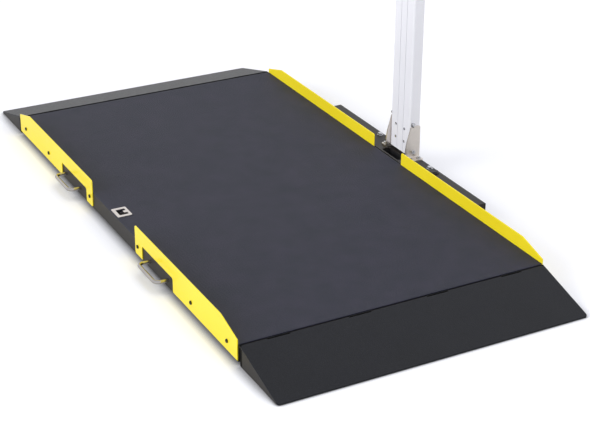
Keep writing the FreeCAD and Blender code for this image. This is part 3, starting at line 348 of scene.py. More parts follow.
# %% Yellow rails and the white column
yellow_coat = finish("safety_yellow_coat", linear(234, 212, 32), linear(242, 221, 42), 0.2,
                     grain_scale=600, cloud=3, bump=0.08, depth=0.0002,
                     worn=linear(170, 146, 40), wear=0.25, edge=0.0008)
white_coat = finish("white_powder_coat", linear(226, 226, 232), linear(232, 232, 238), 0.36,
                    grain_scale=800, bump=0.08, depth=0.0002, coat=0.15, edge=0.0008)
print("paints:", yellow_coat.name, white_coat.name)

# %% Bare metals
stainless = metal("brushed_stainless", linear(238, 231, 224), linear(222, 215, 208), 0.38,
                  stretch=(700.0, 700.0, 12.0))
bar_steel = metal("polished_bar", linear(196, 192, 190), linear(178, 174, 172), 0.2,
                  stretch=(12.0, 900.0, 900.0), spread=0.08)
zinc = metal("bright_zinc", linear(222, 222, 224), linear(190, 192, 198), 0.24, spread=0.1)
machined = metal("machined_aluminium", linear(214, 215, 218), linear(198, 199, 203), 0.3,
                 stretch=(10.0, 600.0, 600.0))
print("metals:", stainless.name, bar_steel.name, zinc.name, machined.name)

# %% Plastics of the indicator head
light_shell = finish("pale_grey_moulding", linear(206, 207, 209), linear(212, 213, 215), 0.48,
                     grain_scale=1300, bump=0.2, depth=0.0002)
grey_shell = finish("mid_grey_moulding", linear(120, 123, 128), linear(128, 131, 136), 0.5,
                    grain_scale=1300, bump=0.2, depth=0.0002)
black_plastic = finish("black_moulding", linear(34, 34, 36), linear(41, 41, 43), 0.5,
                       grain_scale=1300, bump=0.25, depth=0.0002)
natural_nylon = finish("natural_nylon", linear(222, 218, 206), linear(230, 226, 214), 0.45)
key_rubber = finish("key_rubber", linear(58, 62, 70), linear(64, 68, 76), 0.6, grain_scale=1600,
                    bump=0.15)
laminate = finish("board_laminate", linear(24, 92, 52), linear(30, 104, 60), 0.35, coat=0.4)
print("plastics:", light_shell.name, grey_shell.name, black_plastic.name, key_rubber.name)

# %% [markdown]
# The window is thin clear plastic and the display behind it is a reflective liquid crystal, a
# dull green-grey that is lit only by the room. Glass keeps a plain Transmission, and its tint is
# light so that the display stays readable.

# %% Clear window and the display behind it
clear_window = bpy.data.materials.new("clear_window")
clear_window.use_nodes = True
tree = clear_window.node_tree
shader = tree.nodes["Principled BSDF"]
shader.inputs["Base Color"].default_value = (0.93, 0.96, 0.94, 1.0)
shader.inputs["Transmission Weight"].default_value = 1.0
shader.inputs["IOR"].default_value = 1.1
coordinates = add_node(tree, "ShaderNodeTexCoord").outputs["Object"]
smeared = placed(tree, grain, coordinates, Scale=90.0, Cloud=12.0)
haze = ranged(tree, smeared.outputs["Broad"], From_Min=0.35, From_Max=0.75, To_Min=0.0, To_Max=0.03)
link(tree, haze, shader.inputs["Roughness"])
display_face = finish("liquid_crystal", linear(150, 160, 142), linear(158, 168, 150), 0.3,
                      grain_scale=2500, bump=0.03, coat=0.5)
segment_ink = finish("segment_ink", linear(26, 30, 28), linear(32, 36, 34), 0.35, bump=0.02)
overlay_film = finish("overlay_film", linear(44, 52, 66), linear(49, 57, 71), 0.4,
                      grain_scale=2200, bump=0.06, depth=0.0001)
mark_ink = finish("mark_ink", linear(226, 228, 230), linear(232, 234, 236), 0.4, bump=0.02)
print("display:", clear_window.name, display_face.name, overlay_film.name)

# %% [markdown]
# ## Finishes onto the CAD parts
#
# The record says which slot each part takes its finish from, so most of the work is one lookup.
# A few parts share a slot but differ in polish, such as the bent handles, and are named apart.

# %% Hand each part its finish
slot_finish = {
    "deck_rubber": mat_rubber, "deck_aluminium": black_steel, "black_steel": black_steel,
    "ramp_aluminium": ramp_grit, "safety_yellow": yellow_coat, "black_screws": oxide_screw,
    "stainless": stainless, "zinc_fasteners": zinc, "white_aluminium": white_coat,
    "white_steel": white_coat, "load_cell_aluminium": machined, "black_rubber": rubber,
    "black_plastic": black_plastic, "grey_plastic": grey_shell, "light_plastic": light_shell,
    "nylon": natural_nylon, "key_plastic": key_rubber, "clear_window": clear_window,
    "display_glass": display_face, "circuit_laminate": laminate,
}
own_finish = {
    "carry_handle_near": bar_steel, "carry_handle_far": bar_steel,
    "ramp_near_frame": shaded_hinge_steel, "ramp_far_frame": shaded_hinge_steel,
    "ramp_near_pin": oxide_screw, "ramp_far_pin": oxide_screw, "hinge_lugs": painted_seam_shade,
}
for part in frame["record"]["subparts"]:
    name = part["node"]
    material = own_finish.get(name, slot_finish[part["material_slot"]])
    mesh = nodes[name].data
    mesh.materials.clear()
    mesh.materials.append(material)

# %% [markdown]
# ## Helpers for pieces
#
# Pieces are made in two ways. What repeats comes from a Geometry Nodes tree that is run once and
# kept as a plain mesh, because an exporter drops instances. What is turned, cut or drawn comes
# from mesh code. Either way the finished object sits at the origin and its place is in its mesh.

# %% Make a plain object, and run a geometry tree once


def new_piece(name, mesh, material, body):
    """An object for a finished mesh, riding on a body and painted with the given material."""
    mesh.name = name
    mesh.materials.clear()
    mesh.materials.append(material)
    piece = bpy.data.objects.new(name, mesh)
    bpy.context.scene.collection.objects.link(piece)
    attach(piece, body)
    print(f"{name}: {len(mesh.polygons)} faces on {body}")
    return piece


def shaped(build):
    """A mesh from a function that fills a bmesh. Doubles are merged and faces turned outwards."""
    form = bmesh.new()
    build(form)
    bmesh.ops.remove_doubles(form, verts=form.verts, dist=0.000002)
    bmesh.ops.recalc_face_normals(form, faces=form.faces)
    mesh = bpy.data.meshes.new("shape")
    form.to_mesh(mesh)
    form.free()
    return mesh


def run_tree(tree, runs):
    """The meshes that a geometry tree gives for each set of named inputs, joined into one."""
    identifiers = {item.name: item.identifier for item in tree.interface.items_tree
                   if item.item_type == "SOCKET" and item.in_out == "INPUT"}
    together = bmesh.new()
    for inputs in runs:
        carrier = bpy.data.objects.new("carrier", bpy.data.meshes.new("carrier"))
        bpy.context.scene.collection.objects.link(carrier)
        modifier = carrier.modifiers.new("tree", "NODES")
        modifier.node_group = tree
        for name, value in inputs.items():
            modifier[identifiers[name]] = value
        bpy.context.view_layer.update()
        graph = bpy.context.evaluated_depsgraph_get()
        made = bpy.data.meshes.new_from_object(carrier.evaluated_get(graph))
        together.from_mesh(made)
        bpy.data.objects.remove(carrier)
        bpy.data.meshes.remove(made)
    mesh = bpy.data.meshes.new("from_tree")
    together.to_mesh(mesh)
    together.free()
    return mesh


def new_maker(name, inputs):
    """A geometry tree that makes a piece from its named inputs."""
    outputs = [("Geometry", "NodeSocketGeometry")]
    return new_tree(name, "GeometryNodeTree", inputs + [("Material", MATERIAL)], outputs)


def close_tree(tree, instances, inside, outside):
    """Realize the instances, set their material and put them out."""
    real = tree.nodes.new("GeometryNodeRealizeInstances")
    painted = tree.nodes.new("GeometryNodeSetMaterial")
    link(tree, instances, real.inputs["Geometry"])
    link(tree, real.outputs["Geometry"], painted.inputs["Geometry"])
    link(tree, inside.outputs["Material"], painted.inputs["Material"])
    link(tree, painted.outputs["Geometry"], outside.inputs["Geometry"])
    print("tree", tree.name, "is ready")


WHOLE, TURN, MATERIAL = "NodeSocketInt", "NodeSocketRotation", "NodeSocketMaterial"
print("helpers for pieces are ready")

# %% [markdown]
# ## Ribs of the mat
#
# The mat is corrugated rubber: fine straight ribs along the deck, which is what stops a wheel
# from slipping sideways. A bump would fake them, but an exported mesh would then be flat, so
# each rib is real. A tree sweeps one low oval bar and repeats it across the deck. The ribs are
# cut in two where the keeper's window opens.

# %% A tree that repeats a rib
ribs_tree, inside, outside = new_maker("parallel_ribs", [
    ("Start", VECTOR), ("Length", VALUE, 1.0), ("Width", VALUE, 0.002), ("Height", VALUE, 0.001),
    ("Pitch", VALUE, 0.003), ("Count", WHOLE, 10)])
run = add_node(ribs_tree, "ShaderNodeCombineXYZ")
link(ribs_tree, inside.outputs["Length"], run.inputs["X"])
spine = add_node(ribs_tree, "GeometryNodeCurvePrimitiveLine")
link(ribs_tree, run.outputs["Vector"], spine.inputs["End"])
oval = add_node(ribs_tree, "GeometryNodeCurvePrimitiveCircle", Resolution=8, Radius=0.5)
flat = add_node(ribs_tree, "ShaderNodeCombineXYZ", Z=1.0)
link(ribs_tree, inside.outputs["Width"], flat.inputs["X"])
link(ribs_tree, inside.outputs["Height"], flat.inputs["Y"])
section = add_node(ribs_tree, "GeometryNodeTransform")
link(ribs_tree, oval.outputs["Curve"], section.inputs["Geometry"])
link(ribs_tree, flat.outputs["Vector"], section.inputs["Scale"])
swept = add_node(ribs_tree, "GeometryNodeCurveToMesh", Fill_Caps=True)
link(ribs_tree, spine.outputs["Curve"], swept.inputs["Curve"])
link(ribs_tree, section.outputs["Geometry"], swept.inputs["Profile Curve"])
step = add_node(ribs_tree, "ShaderNodeCombineXYZ")
link(ribs_tree, inside.outputs["Pitch"], step.inputs["Y"])
row = add_node(ribs_tree, "GeometryNodeMeshLine")
link(ribs_tree, inside.outputs["Count"], row.inputs["Count"])
link(ribs_tree, inside.outputs["Start"], row.inputs["Start Location"])
link(ribs_tree, step.outputs["Vector"], row.inputs["Offset"])
repeated = add_node(ribs_tree, "GeometryNodeInstanceOnPoints")
link(ribs_tree, row.outputs["Mesh"], repeated.inputs["Points"])
link(ribs_tree, swept.outputs["Mesh"], repeated.inputs["Instance"])
close_tree(ribs_tree, repeated.outputs["Instances"], inside, outside)

# %% Lay the ribs, split round the keeper's window
mat_low, mat_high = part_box("deck_mat")
keeper_low, keeper_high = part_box("keeper_plate")
rib_pitch, rib_width, rib_height = 0.0030, 0.0021, 0.0009
edge_margin = 0.0025
window_half_x, window_frame = 0.0185, 0.0055
rows = int((mat_high.y - mat_low.y - 2 * edge_margin) / rib_pitch)
gap_low, gap_high = keeper_low.y + window_frame, keeper_high.y - window_frame
row_place = [mat_low.y + edge_margin + i * rib_pitch for i in range(rows + 1)]
before = [y for y in row_place if y <= gap_low]
split = [y for y in row_place if gap_low < y < gap_high]
after = [y for y in row_place if y >= gap_high]
full = mat_high.x - mat_low.x - 2 * edge_margin
part_length = full / 2 - window_half_x
rib = {"Width": rib_width, "Height": rib_height, "Pitch": rib_pitch, "Material": mat_rubber}
left = mat_low.x + edge_margin
patches = [(left, before, full), (left, split, part_length), (window_half_x, split, part_length),
           (left, after, full)]
runs = [dict(rib, Start=(x, lines[0], mat_high.z), Length=length, Count=len(lines))
        for x, lines, length in patches]
new_piece("mat_ribs", run_tree(ribs_tree, runs), mat_rubber, "root")

# %% [markdown]
# ## A liner under the cable well
#
# The base channel is open underneath, so the well in front of the column needs a tray, or the
# floor would show through it. It is a plain moulded liner: four thin walls, a bottom and a rim.

# %% Mould the liner
channel_low, channel_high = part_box("base_channel")
channel_wall, fit_gap = 0.003, 0.0001
well_half, well_depth, liner_wall = 0.0485, 0.030, 0.0012
well_front, well_back = channel_low.y + 0.0050, channel_low.y + 0.0345
liner_top = channel_high.z - channel_wall - fit_gap


def open_box(form, low, high):
    """Four sides and the bottom of a box between two corners. Corners 4 to 7 are its rim."""
    plan = ((low[0], low[1]), (high[0], low[1]), (high[0], high[1]), (low[0], high[1]))
    corners = [form.verts.new((x, y, z)) for z in (low[2], high[2]) for x, y in plan]
    for side in ((0, 1, 5, 4), (1, 2, 6, 5), (2, 3, 7, 6), (3, 0, 4, 7), (3, 2, 1, 0)):
        form.faces.new([corners[i] for i in side])
    return corners


def build_liner(form):
    """One open box inside another, joined round the rim."""
    low = (-well_half, well_front, liner_top - well_depth)
    high = (well_half, well_back, liner_top)
    outer = open_box(form, low, high)
    inner = open_box(form, tuple(c + liner_wall for c in low),
                     (high[0] - liner_wall, high[1] - liner_wall, high[2]))
    for i in range(4):
        j = (i + 1) % 4
        form.faces.new((outer[4 + i], outer[4 + j], inner[4 + j], inner[4 + i]))


new_piece("well_liner", shaped(build_liner), black_plastic, "root")

# %% [markdown]
# ## Transport wheels
#
# The platform is stood on its long side and rolled away on two small wheels. Each is a rubber
# tyre with grooves, turned like a lathe part, on a moulded hub. The hub's spokes repeat around
# the axle, so they come from a tree, and the tyre and hub from one lathe function.

# %% A lathe around an axis along X


def lathe(form, centre, profile, steps, lobe=None):
    """Spin (x, radius) points round an axis along X, and cap the ends of an open profile.
    A lobe function may change each radius."""
    rings = []
    for i in range(steps):
        angle = 2 * pi * i / steps
        ring = []
        for x, radius in profile:
            reach = radius * lobe(x, angle) if lobe else radius
            place = (centre.x + x, centre.y + reach * cos(angle), centre.z + reach * sin(angle))
            ring.append(form.verts.new(place))
        rings.append(ring)
    for i in range(steps):
        here, there = rings[i], rings[(i + 1) % steps]
        for j in range(len(profile) - 1):
            form.faces.new((here[j], here[j + 1], there[j + 1], there[j]))
    for j in (0, -1):
        if profile[j][1] > 0 and profile[0] != profile[-1]:
            form.faces.new([ring[j] for ring in rings])


def mirrored(half_profile):
    """A profile given from the middle outwards, completed on the other side."""
    return [(-x, radius) for x, radius in reversed(half_profile)] + half_profile


print("lathe() is ready")

# %% A tree that stands bars around an axle
spokes_tree, inside, outside = new_maker("spokes", [
    ("Centre", VECTOR), ("Radius", VALUE, 0.011), ("Length", VALUE, 0.006), ("Width", VALUE, 0.0022),
    ("Depth", VALUE, 0.014), ("Count", WHOLE, 6)])
circle = add_node(spokes_tree, "GeometryNodeMeshCircle")
link(spokes_tree, inside.outputs["Count"], circle.inputs["Vertices"])
link(spokes_tree, inside.outputs["Radius"], circle.inputs["Radius"])
size = add_node(spokes_tree, "ShaderNodeCombineXYZ")
link(spokes_tree, inside.outputs["Length"], size.inputs["X"])
link(spokes_tree, inside.outputs["Width"], size.inputs["Y"])
link(spokes_tree, inside.outputs["Depth"], size.inputs["Z"])
bar = add_node(spokes_tree, "GeometryNodeMeshCube")
link(spokes_tree, size.outputs["Vector"], bar.inputs["Size"])
place = add_node(spokes_tree, "GeometryNodeInputPosition")
facing = add_node(spokes_tree, "FunctionNodeAlignRotationToVector", axis="X")
link(spokes_tree, place.outputs["Position"], facing.inputs["Vector"])
spread = add_node(spokes_tree, "GeometryNodeInstanceOnPoints")
link(spokes_tree, circle.outputs["Mesh"], spread.inputs["Points"])
link(spokes_tree, bar.outputs["Mesh"], spread.inputs["Instance"])
link(spokes_tree, facing.outputs["Rotation"], spread.inputs["Rotation"])
upright = add_node(spokes_tree, "GeometryNodeTransform")
upright.inputs["Rotation"].default_value = (0, pi / 2, 0)
link(spokes_tree, spread.outputs["Instances"], upright.inputs["Geometry"])
link(spokes_tree, inside.outputs["Centre"], upright.inputs["Translation"])
close_tree(spokes_tree, upright.outputs["Geometry"], inside, outside)

# %% Profiles of the tyre and the hub, as (x from the middle, radius)
tread, tyre_inside, half_width = 0.025, 0.0162, 0.011
groove_at, groove_half, groove_depth = 0.0040, 0.0009, 0.0011
half_tyre = [
    (groove_half * 2.2, tread - 0.0001), (groove_at - groove_half, tread - 0.0001),
    (groove_at - groove_half, tread - groove_depth), (groove_at + groove_half, tread - groove_depth),
    (groove_at + groove_half, tread - 0.0002), (0.0078, tread - 0.0005), (0.0098, tread - 0.0016),
    (half_width - 0.0003, tread - 0.0040), (half_width, tread - 0.0060),
    (half_width - 0.0004, tyre_inside)]
tyre_profile = mirrored(half_tyre) + [(-half_width + 0.0004, tyre_inside)]
bore, boss, web_half, rim_inside = 0.0042, 0.0078, 0.0030, 0.0140
half_rim = [
    (web_half, rim_inside - 0.0004), (half_width - 0.0012, rim_inside),
    (half_width - 0.0006, rim_inside + 0.0006), (half_width - 0.0006, tyre_inside - 0.0001)]
rim_profile = half_rim + [(-x, radius) for x, radius in reversed(half_rim)] + [half_rim[0]]
half_boss = [
    (half_width, bore), (half_width, boss - 0.0008), (half_width - 0.0008, boss),
    (web_half, boss + 0.0004), (web_half, rim_inside)]
boss_profile = half_boss + [(-x, radius) for x, radius in reversed(half_boss)] + [half_boss[0]]
print(len(tyre_profile), "points round the tyre,", len(rim_profile), "round the rim")

# %% Turn the tyres and hubs
tyre_steps, hub_steps = 64, 48
for side in ("near", "far"):
    low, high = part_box(f"transport_wheel_{side}")
    centre, body = (low + high) / 2, f"wheel_{side}"

    def build_tyre(form):
        lathe(form, centre, tyre_profile, tyre_steps)

    def build_hub(form):
        lathe(form, centre, rim_profile, hub_steps)
        lathe(form, centre, boss_profile, hub_steps)

    spokes_mesh = run_tree(spokes_tree, [{"Centre": tuple(centre), "Material": grey_shell}])
    tyre = new_piece(f"tyre_{side}", shaped(build_tyre), rubber, body)
    hub = new_piece(f"wheel_rim_{side}", shaped(build_hub), grey_shell, body)
    spokes = new_piece(f"wheel_spokes_{side}", spokes_mesh, grey_shell, body)
    for piece in (tyre, hub, spokes):
        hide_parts(f"transport_wheel_{side}")

# %% [markdown]
# ## Tilt knobs
#
# Two hand knobs clamp the head at its angle. A hand knob follows a rule: a turned body whose
# radius dips six times around the grip, and stays round along the neck and at the middle of the
# face. The lathe takes that rule as a function.

# %% Turn the knobs with six lobes
knob_radius, neck_radius, grip_start = 0.0119, 0.0038, 0.0227
lobes, lobe_depth, knob_steps = 6, 0.13, 72
for side, way in (("near", 1), ("far", -1)):
    low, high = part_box(f"tilt_knob_{side}")
    whole = high.x - low.x
    foot = Vector((low.x if way > 0 else high.x, (low.y + high.y) / 2, (low.z + high.z) / 2))
    shape = [
        (0.0, neck_radius), (grip_start - 0.0005, neck_radius), (grip_start - 0.0004, 0.0085),
        (grip_start + 0.0012, 0.0090), (grip_start + 0.0020, knob_radius - 0.0006),
        (grip_start + 0.0032, knob_radius), (whole - 0.0040, knob_radius - 0.0004),
        (whole - 0.0020, knob_radius - 0.0014), (whole - 0.0008, knob_radius - 0.0032),
        (whole - 0.0001, knob_radius - 0.0058), (whole - 0.0006, 0.0046), (whole - 0.0014, 0.0036)]

    def lobed(x, angle):
        on_grip = grip_start + 0.0016 < abs(x) < whole - 0.0005
        return 1 - lobe_depth * (0.5 - 0.5 * cos(lobes * angle)) ** 2 if on_grip else 1.0

    def build_knob(form):
        lathe(form, foot, [(x * way, radius) for x, radius in shape], knob_steps, lobed)

    knob = new_piece(f"lobed_knob_{side}", shaped(build_knob), black_plastic, f"knob_{side}")
    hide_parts(f"tilt_knob_{side}")

# %% [markdown]
# ## Face of the head
#
# A printed film covers the front of the head. It is cut out for the window and the four keys, so
# it is built from a grid of cells with those left open, then given its thickness. The keys carry
# raised marks in plain shapes: a power ring, a zero, two bars to hold a reading and two arrows
# to change the unit.

# %% Cut a plate with holes


def cut_plate(form, across, up, holes, front, back):
    """A flat plate in X and Z with rectangular holes (x0, x1, z0, z1), between two Y places."""
    columns = sorted({across[0], across[1], *[x for hole in holes for x in hole[:2]]})
    levels = sorted({up[0], up[1], *[z for hole in holes for z in hole[2:]]})
    for x0, x1 in zip(columns, columns[1:]):
        for z0, z1 in zip(levels, levels[1:]):
            x, z = (x0 + x1) / 2, (z0 + z1) / 2
            if any(hole[0] < x < hole[1] and hole[2] < z < hole[3] for hole in holes):
                continue
            outline = ((x0, z0), (x1, z0), (x1, z1), (x0, z1))
            form.faces.new([form.verts.new((a, front, b)) for a, b in outline])
    bmesh.ops.remove_doubles(form, verts=form.verts, dist=0.00001)
    skin = bmesh.ops.extrude_face_region(form, geom=form.faces[:])
    for corner in skin["geom"]:
        if isinstance(corner, bmesh.types.BMVert):
            corner.co.y = back


case_low, case_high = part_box("head_front_case")
key_names = ("power", "zero", "hold", "unit")
key_boxes = {name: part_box(f"key_{name}") for name in key_names}
window_half, window_low, window_high = 0.0862, case_low.z + 0.0588, case_low.z + 0.1132
key_hole_x, key_hole_z = 0.0163, 0.0113
film_inset, film_thickness, glue_gap = 0.007, 0.0004, 0.00002
holes = [(-window_half, window_half, window_low, window_high)]
for low, high in key_boxes.values():
    x, z = (low.x + high.x) / 2, (low.z + high.z) / 2
    holes.append((x - key_hole_x, x + key_hole_x, z - key_hole_z, z + key_hole_z))


def build_overlay(form):
    across = (case_low.x + film_inset, case_high.x - film_inset)
    up = (case_low.z + film_inset, case_high.z - film_inset)
    cut_plate(form, across, up, holes, case_low.y - film_thickness, case_low.y - glue_gap)


new_piece("front_overlay", shaped(build_overlay), overlay_film, "head")

# %% Draw a raised stroke


def stroke(form, points, width, front, back, closed=False):
    """A ribbon of even width along (x, z) points, raised from back to front along Y."""
    count = len(points)
    edges = []
    for i, (x, z) in enumerate(points):
        before = points[(i - 1) % count] if closed or i else points[0]
        after = points[(i + 1) % count] if closed or i < count - 1 else points[-1]
        along = Vector((after[0] - before[0], after[1] - before[1])).normalized()
        side = Vector((-along.y, along.x)) * (width / 2)
        edges.append([form.verts.new((x + side.x * way, y, z + side.y * way))
                      for way, y in ((1, front), (-1, front), (-1, back), (1, back))])
    for i in range(count if closed else count - 1):
        here, there = edges[i], edges[(i + 1) % count]
        for j in range(4):
            form.faces.new((here[j], here[(j + 1) % 4], there[(j + 1) % 4], there[j]))
    if not closed:
        form.faces.new(edges[0])
        form.faces.new(edges[-1])


def arc(x, z, wide, tall, start, stop, steps=24):
    """Points on an oval from one angle to another, in degrees, clockwise from the top."""
    return [(x + wide * sin(radians(start + (stop - start) * i / steps)),
             z + tall * cos(radians(start + (stop - start) * i / steps))) for i in range(steps + 1)]


print("stroke() and arc() are ready")

# %% Raise the marks on the keys
mark_width, mark_height, mark_sink = 0.0011, 0.0003, 0.0002


def power_mark(x, z):
    return [(arc(x, z, 0.0042, 0.0042, 38, 322), False), ([(x, z + 0.0010), (x, z + 0.0052)], False)]


def zero_mark(x, z):
    return [(arc(x, z, 0.0030, 0.0046, 0, 360)[:-1], True)]


def hold_mark(x, z):
    return [([(x + gap, z - 0.0042), (x + gap, z + 0.0042)], False) for gap in (-0.0020, 0.0020)]


def unit_mark(x, z):
    strokes = []
    for way in (1, -1):
        level = z + 0.0022 * way
        tip = x + 0.0054 * way
        strokes.append(([(x - 0.0054 * way, level), (tip, level)], False))
        strokes.append(([(tip - 0.0022 * way, level + 0.0020 * way), (tip, level)], False))
    return strokes


marks = {"power": power_mark, "zero": zero_mark, "hold": hold_mark, "unit": unit_mark}
for name, draw in marks.items():
    low, high = key_boxes[name]

    def build_mark(form):
        for points, closed in draw((low.x + high.x) / 2, (low.z + high.z) / 2):
            stroke(form, points, mark_width, low.y - mark_height, low.y + mark_sink, closed)

    new_piece(f"{name}_mark", shaped(build_mark), mark_ink, f"key_{name}")

# %% [markdown]
# ## The reading
#
# Behind the window the display shows a plain reading of nought, two figures with a point between
# them. Each segment is a bar with pointed ends, so a figure is six such bars set by one rule.

# %% Set the figures
display_low, display_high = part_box("display_module")
figure_height, figure_width, bar_width, bar_gap = 0.030, 0.0155, 0.0032, 0.0004
figure_pitch, figure_shift, point_half = 0.0225, 0.004, 0.0014
ink_front, ink_back = display_low.y - 0.00012, display_low.y + 0.0001
bars_of_zero = [((-1, 1), (1, 1)), ((1, 1), (1, 0)), ((1, 0), (1, -1)), ((-1, -1), (1, -1)),
                ((-1, 0), (-1, -1)), ((-1, 1), (-1, 0))]


def segment(form, x, z, ends):
    """One bar with pointed ends, of a figure centred on (x, z)."""
    start, stop = [Vector((x + a * (figure_width - bar_width) / 2, z + b * (figure_height - bar_width) / 2))
                   for a, b in ends]
    along = (stop - start).normalized()
    across = Vector((-along.y, along.x)) * bar_width / 2
    gap = along * bar_gap
    point = along * bar_width / 2
    outline = [start + gap, start + gap + point + across, stop - gap - point + across, stop - gap,
               stop - gap - point - across, start + gap + point - across]
    front = [form.verts.new((p.x, ink_front, p.y)) for p in outline]
    back = [form.verts.new((p.x, ink_back, p.y)) for p in outline]
    form.faces.new(front)
    form.faces.new(back)
    for i in range(6):
        j = (i + 1) % 6
        form.faces.new((front[i], front[j], back[j], back[i]))


def build_figures(form):
    level = (display_low.z + display_high.z) / 2
    for place in (1, 2):
        for ends in bars_of_zero:
            segment(form, figure_pitch * place + figure_shift, level, ends)
    x, z = figure_pitch * 1.5 + figure_shift, level - figure_height / 2 + point_half
    stroke(form, [(x - point_half, z), (x + point_half, z)], 2 * point_half, ink_front, ink_back)


new_piece("figures", shaped(build_figures), segment_ink, "head")

# %% [markdown]
# ## Screws of the head and the junction box
#
# Four screws hold the two halves of the head together from behind, and four more close the
# junction box. All are socket-head screws that differ only in size, so one tree makes the head,
# cuts its hexagon and stands a copy on each corner of a grid.

# %% A tree that sets out socket screws
screws_tree, inside, outside = new_maker("socket_screws", [
    ("Centre", VECTOR), ("Turn", TURN), ("Spread X", VALUE, 0.2), ("Spread Y", VALUE, 0.1),
    ("Head Radius", VALUE, 0.003), ("Head Height", VALUE, 0.0018), ("Socket Radius", VALUE, 0.0014)])
grid = add_node(screws_tree, "GeometryNodeMeshGrid", Vertices_X=2, Vertices_Y=2)
link(screws_tree, inside.outputs["Spread X"], grid.inputs["Size X"])
link(screws_tree, inside.outputs["Spread Y"], grid.inputs["Size Y"])
chamfer = add_node(screws_tree, "ShaderNodeMath", operation="MULTIPLY")
link(screws_tree, inside.outputs["Head Radius"], chamfer.inputs[0])
chamfer.inputs[1].default_value = 0.8
head = add_node(screws_tree, "GeometryNodeMeshCone", Vertices=20, fill_type="NGON")
link(screws_tree, chamfer.outputs["Value"], head.inputs["Radius Top"])
link(screws_tree, inside.outputs["Head Radius"], head.inputs["Radius Bottom"])
link(screws_tree, inside.outputs["Head Height"], head.inputs["Depth"])
socket = add_node(screws_tree, "GeometryNodeMeshCylinder", Vertices=6)
link(screws_tree, inside.outputs["Socket Radius"], socket.inputs["Radius"])
link(screws_tree, inside.outputs["Head Height"], socket.inputs["Depth"])
lift = add_node(screws_tree, "ShaderNodeCombineXYZ")
link(screws_tree, inside.outputs["Head Height"], lift.inputs["Z"])
raised = add_node(screws_tree, "GeometryNodeTransform")
link(screws_tree, socket.outputs["Mesh"], raised.inputs["Geometry"])
link(screws_tree, lift.outputs["Vector"], raised.inputs["Translation"])
hollow = add_node(screws_tree, "GeometryNodeMeshBoolean", operation="DIFFERENCE")
link(screws_tree, head.outputs["Mesh"], hollow.inputs["Mesh 1"])
link(screws_tree, raised.outputs["Geometry"], hollow.inputs["Mesh 2"])
copies = add_node(screws_tree, "GeometryNodeInstanceOnPoints")
link(screws_tree, grid.outputs["Mesh"], copies.inputs["Points"])
link(screws_tree, hollow.outputs["Mesh"], copies.inputs["Instance"])
turned_to = add_node(screws_tree, "GeometryNodeTransform")
link(screws_tree, copies.outputs["Instances"], turned_to.inputs["Geometry"])
link(screws_tree, inside.outputs["Turn"], turned_to.inputs["Rotation"])
link(screws_tree, inside.outputs["Centre"], turned_to.inputs["Translation"])
close_tree(screws_tree, turned_to.outputs["Geometry"], inside, outside)

# %% Set the screws out
rear_low, rear_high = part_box("head_rear_case")
case_seat, case_screw_level = 0.0003, 0.0655
new_piece("case_screws", run_tree(screws_tree, [
    {"Centre": (0, rear_high.y - case_seat, rear_low.z + case_screw_level), "Turn": (-pi / 2, 0, 0),
     "Spread X": 0.208, "Spread Y": 0.101, "Head Height": 0.0008, "Material": oxide_screw}]),
    oxide_screw, "head")
box_low, box_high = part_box("junction_box")
lid_seat, lid_margin = 0.0002, 0.014
lid_middle = ((box_low.x + box_high.x) / 2, (box_low.y + box_high.y) / 2, box_low.z + lid_seat)
new_piece("lid_screws", run_tree(screws_tree, [
    {"Centre": lid_middle, "Turn": (pi, 0, 0), "Spread X": box_high.x - box_low.x - lid_margin,
     "Spread Y": box_high.y - box_low.y - lid_margin, "Head Radius": 0.0026, "Material": oxide_screw}]),
    oxide_screw, "root")

# %% [markdown]
# ## Floor, light and camera
#
# A pale sweep of floor under a bright, even sky gives soft shadows, and a painted contact shadow in
# the floor's colour tightens them where the platform stands, as in a studio shot.
# A soft sun low in front lights the faces on the handle side, and a panel beside the near ramp
# lifts the ends. The camera looks down on the near corner through a long lens.

# %% Floor
reach = 15.0
floor_mesh = bpy.data.meshes.new("floor")
floor_mesh.from_pydata([(-reach, -reach, 0), (reach, -reach, 0), (reach, reach, 0), (-reach, reach, 0)],
                       [], [(0, 1, 2, 3)])
floor = bpy.data.objects.new("floor", floor_mesh)
bpy.context.scene.collection.objects.link(floor)
floor_paint = bpy.data.materials.new("studio_floor")
floor_paint.use_nodes = True
floor_mesh.materials.append(floor_paint)
print("floor", 2 * reach, "m square")

# %% [markdown]
# A white studio floor is a little brighter than the sky can make it, so what the camera sees
# glows faintly, while the light that it bounces back is held down. A painted contact shadow darkens
# its colour and glow by ambient occlusion in the crease where something stands close above it,
# which draws a tight line under the platform.

# %% Paint of the floor
seen_white, bounced_grey, painted_shadow_grey = (0.95, 0.95, 0.95, 1), (0.70, 0.70, 0.70, 1), (0.34, 0.34, 0.35, 1)
black, lift_tint, lift = (0, 0, 0, 1), (1, 1, 1.25, 1), 0.08
tree = floor_paint.node_tree
shader = tree.nodes["Principled BSDF"]
# Painted shadow: ambient occlusion turns the floor's colour grey and its glow off next to the platform.
contact_shadow_ao = add_node(tree, "ShaderNodeAmbientOcclusion", Distance=0.032, samples=8)
shade = ranged(tree, contact_shadow_ao.outputs["AO"], From_Min=0.45, From_Max=0.98)
seen = add_node(tree, "ShaderNodeLightPath").outputs["Is Camera Ray"]
pale = mixed(tree, shade, painted_shadow_grey, seen_white)
link(tree, mixed(tree, seen, bounced_grey, pale), shader.inputs["Base Color"])
lifted = mixed(tree, shade, black, lift_tint)
link(tree, mixed(tree, seen, black, lifted), shader.inputs["Emission Color"])
shader.inputs["Emission Strength"].default_value = lift
shader.inputs["Roughness"].default_value = 0.9
shader.inputs["Specular IOR Level"].default_value = 0.1
print("the floor glows by", lift)

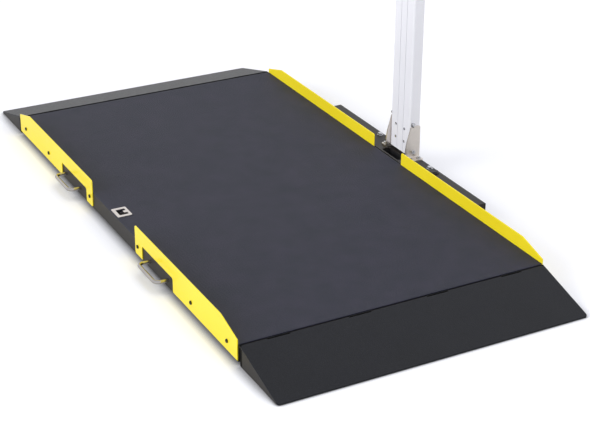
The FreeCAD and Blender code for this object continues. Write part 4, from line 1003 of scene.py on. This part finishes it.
# %% Sky and lamps
world = bpy.data.worlds.new("studio")
bpy.context.scene.world = world
world.use_nodes = True
tree = world.node_tree
direction = add_node(tree, "ShaderNodeTexCoord").outputs["Generated"]
height = add_node(tree, "ShaderNodeSeparateXYZ")
link(tree, direction, height.inputs["Vector"])
climb = ranged(tree, height.outputs["Z"], From_Min=0.05, From_Max=0.75, interpolation_type="SMOOTHSTEP")
horizon, zenith = (1.0, 1.0, 1.0, 1.0), (0.74, 0.75, 0.79, 1.0)
link(tree, mixed(tree, climb, horizon, zenith), tree.nodes["Background"].inputs["Color"])
tree.nodes["Background"].inputs["Strength"].default_value = 1.05


def add_lamp(light, place):
    """A lamp that lights surfaces but shows in no reflection."""
    lamp = bpy.data.objects.new(light.name, light)
    lamp.matrix_world = place
    lamp.visible_glossy = False
    bpy.context.scene.collection.objects.link(lamp)


panel = bpy.data.lights.new("side_panel", "AREA")
panel.size = 2.5
panel.energy = 42
panel_at, panel_target = Vector((4.2, 0.6, 2.4)), Vector((0, 0, 0.3))
facing_object = (panel_target - panel_at).to_track_quat("-Z", "Y").to_matrix().to_4x4()
add_lamp(panel, Matrix.Translation(panel_at) @ facing_object)
sun = bpy.data.lights.new("front_light", "SUN")
sun.energy = 1.75
sun.angle = radians(40)
add_lamp(sun, Matrix.Rotation(radians(-5), 4, "Z") @ Matrix.Rotation(radians(70), 4, "X"))
bpy.context.scene.view_settings.view_transform = "Standard"

# %% Camera
camera_data = bpy.data.cameras.new("camera")
camera_data.lens = 93.91
camera_data.sensor_width = 36.0
camera = bpy.data.objects.new("camera", camera_data)
stand = Vector((3.5377, -1.7849, 1.9029))
turn, tilt, roll = radians(61.93), radians(26.12), radians(0.32)
aim = Matrix.Rotation(turn, 4, "Z") @ Matrix.Rotation(pi / 2 - tilt, 4, "X") @ Matrix.Rotation(roll, 4, "Z")
camera.matrix_world = Matrix.Translation(stand) @ aim
bpy.context.scene.collection.objects.link(camera)
bpy.context.scene.camera = camera
print("camera at", tuple(round(c, 2) for c in stand))
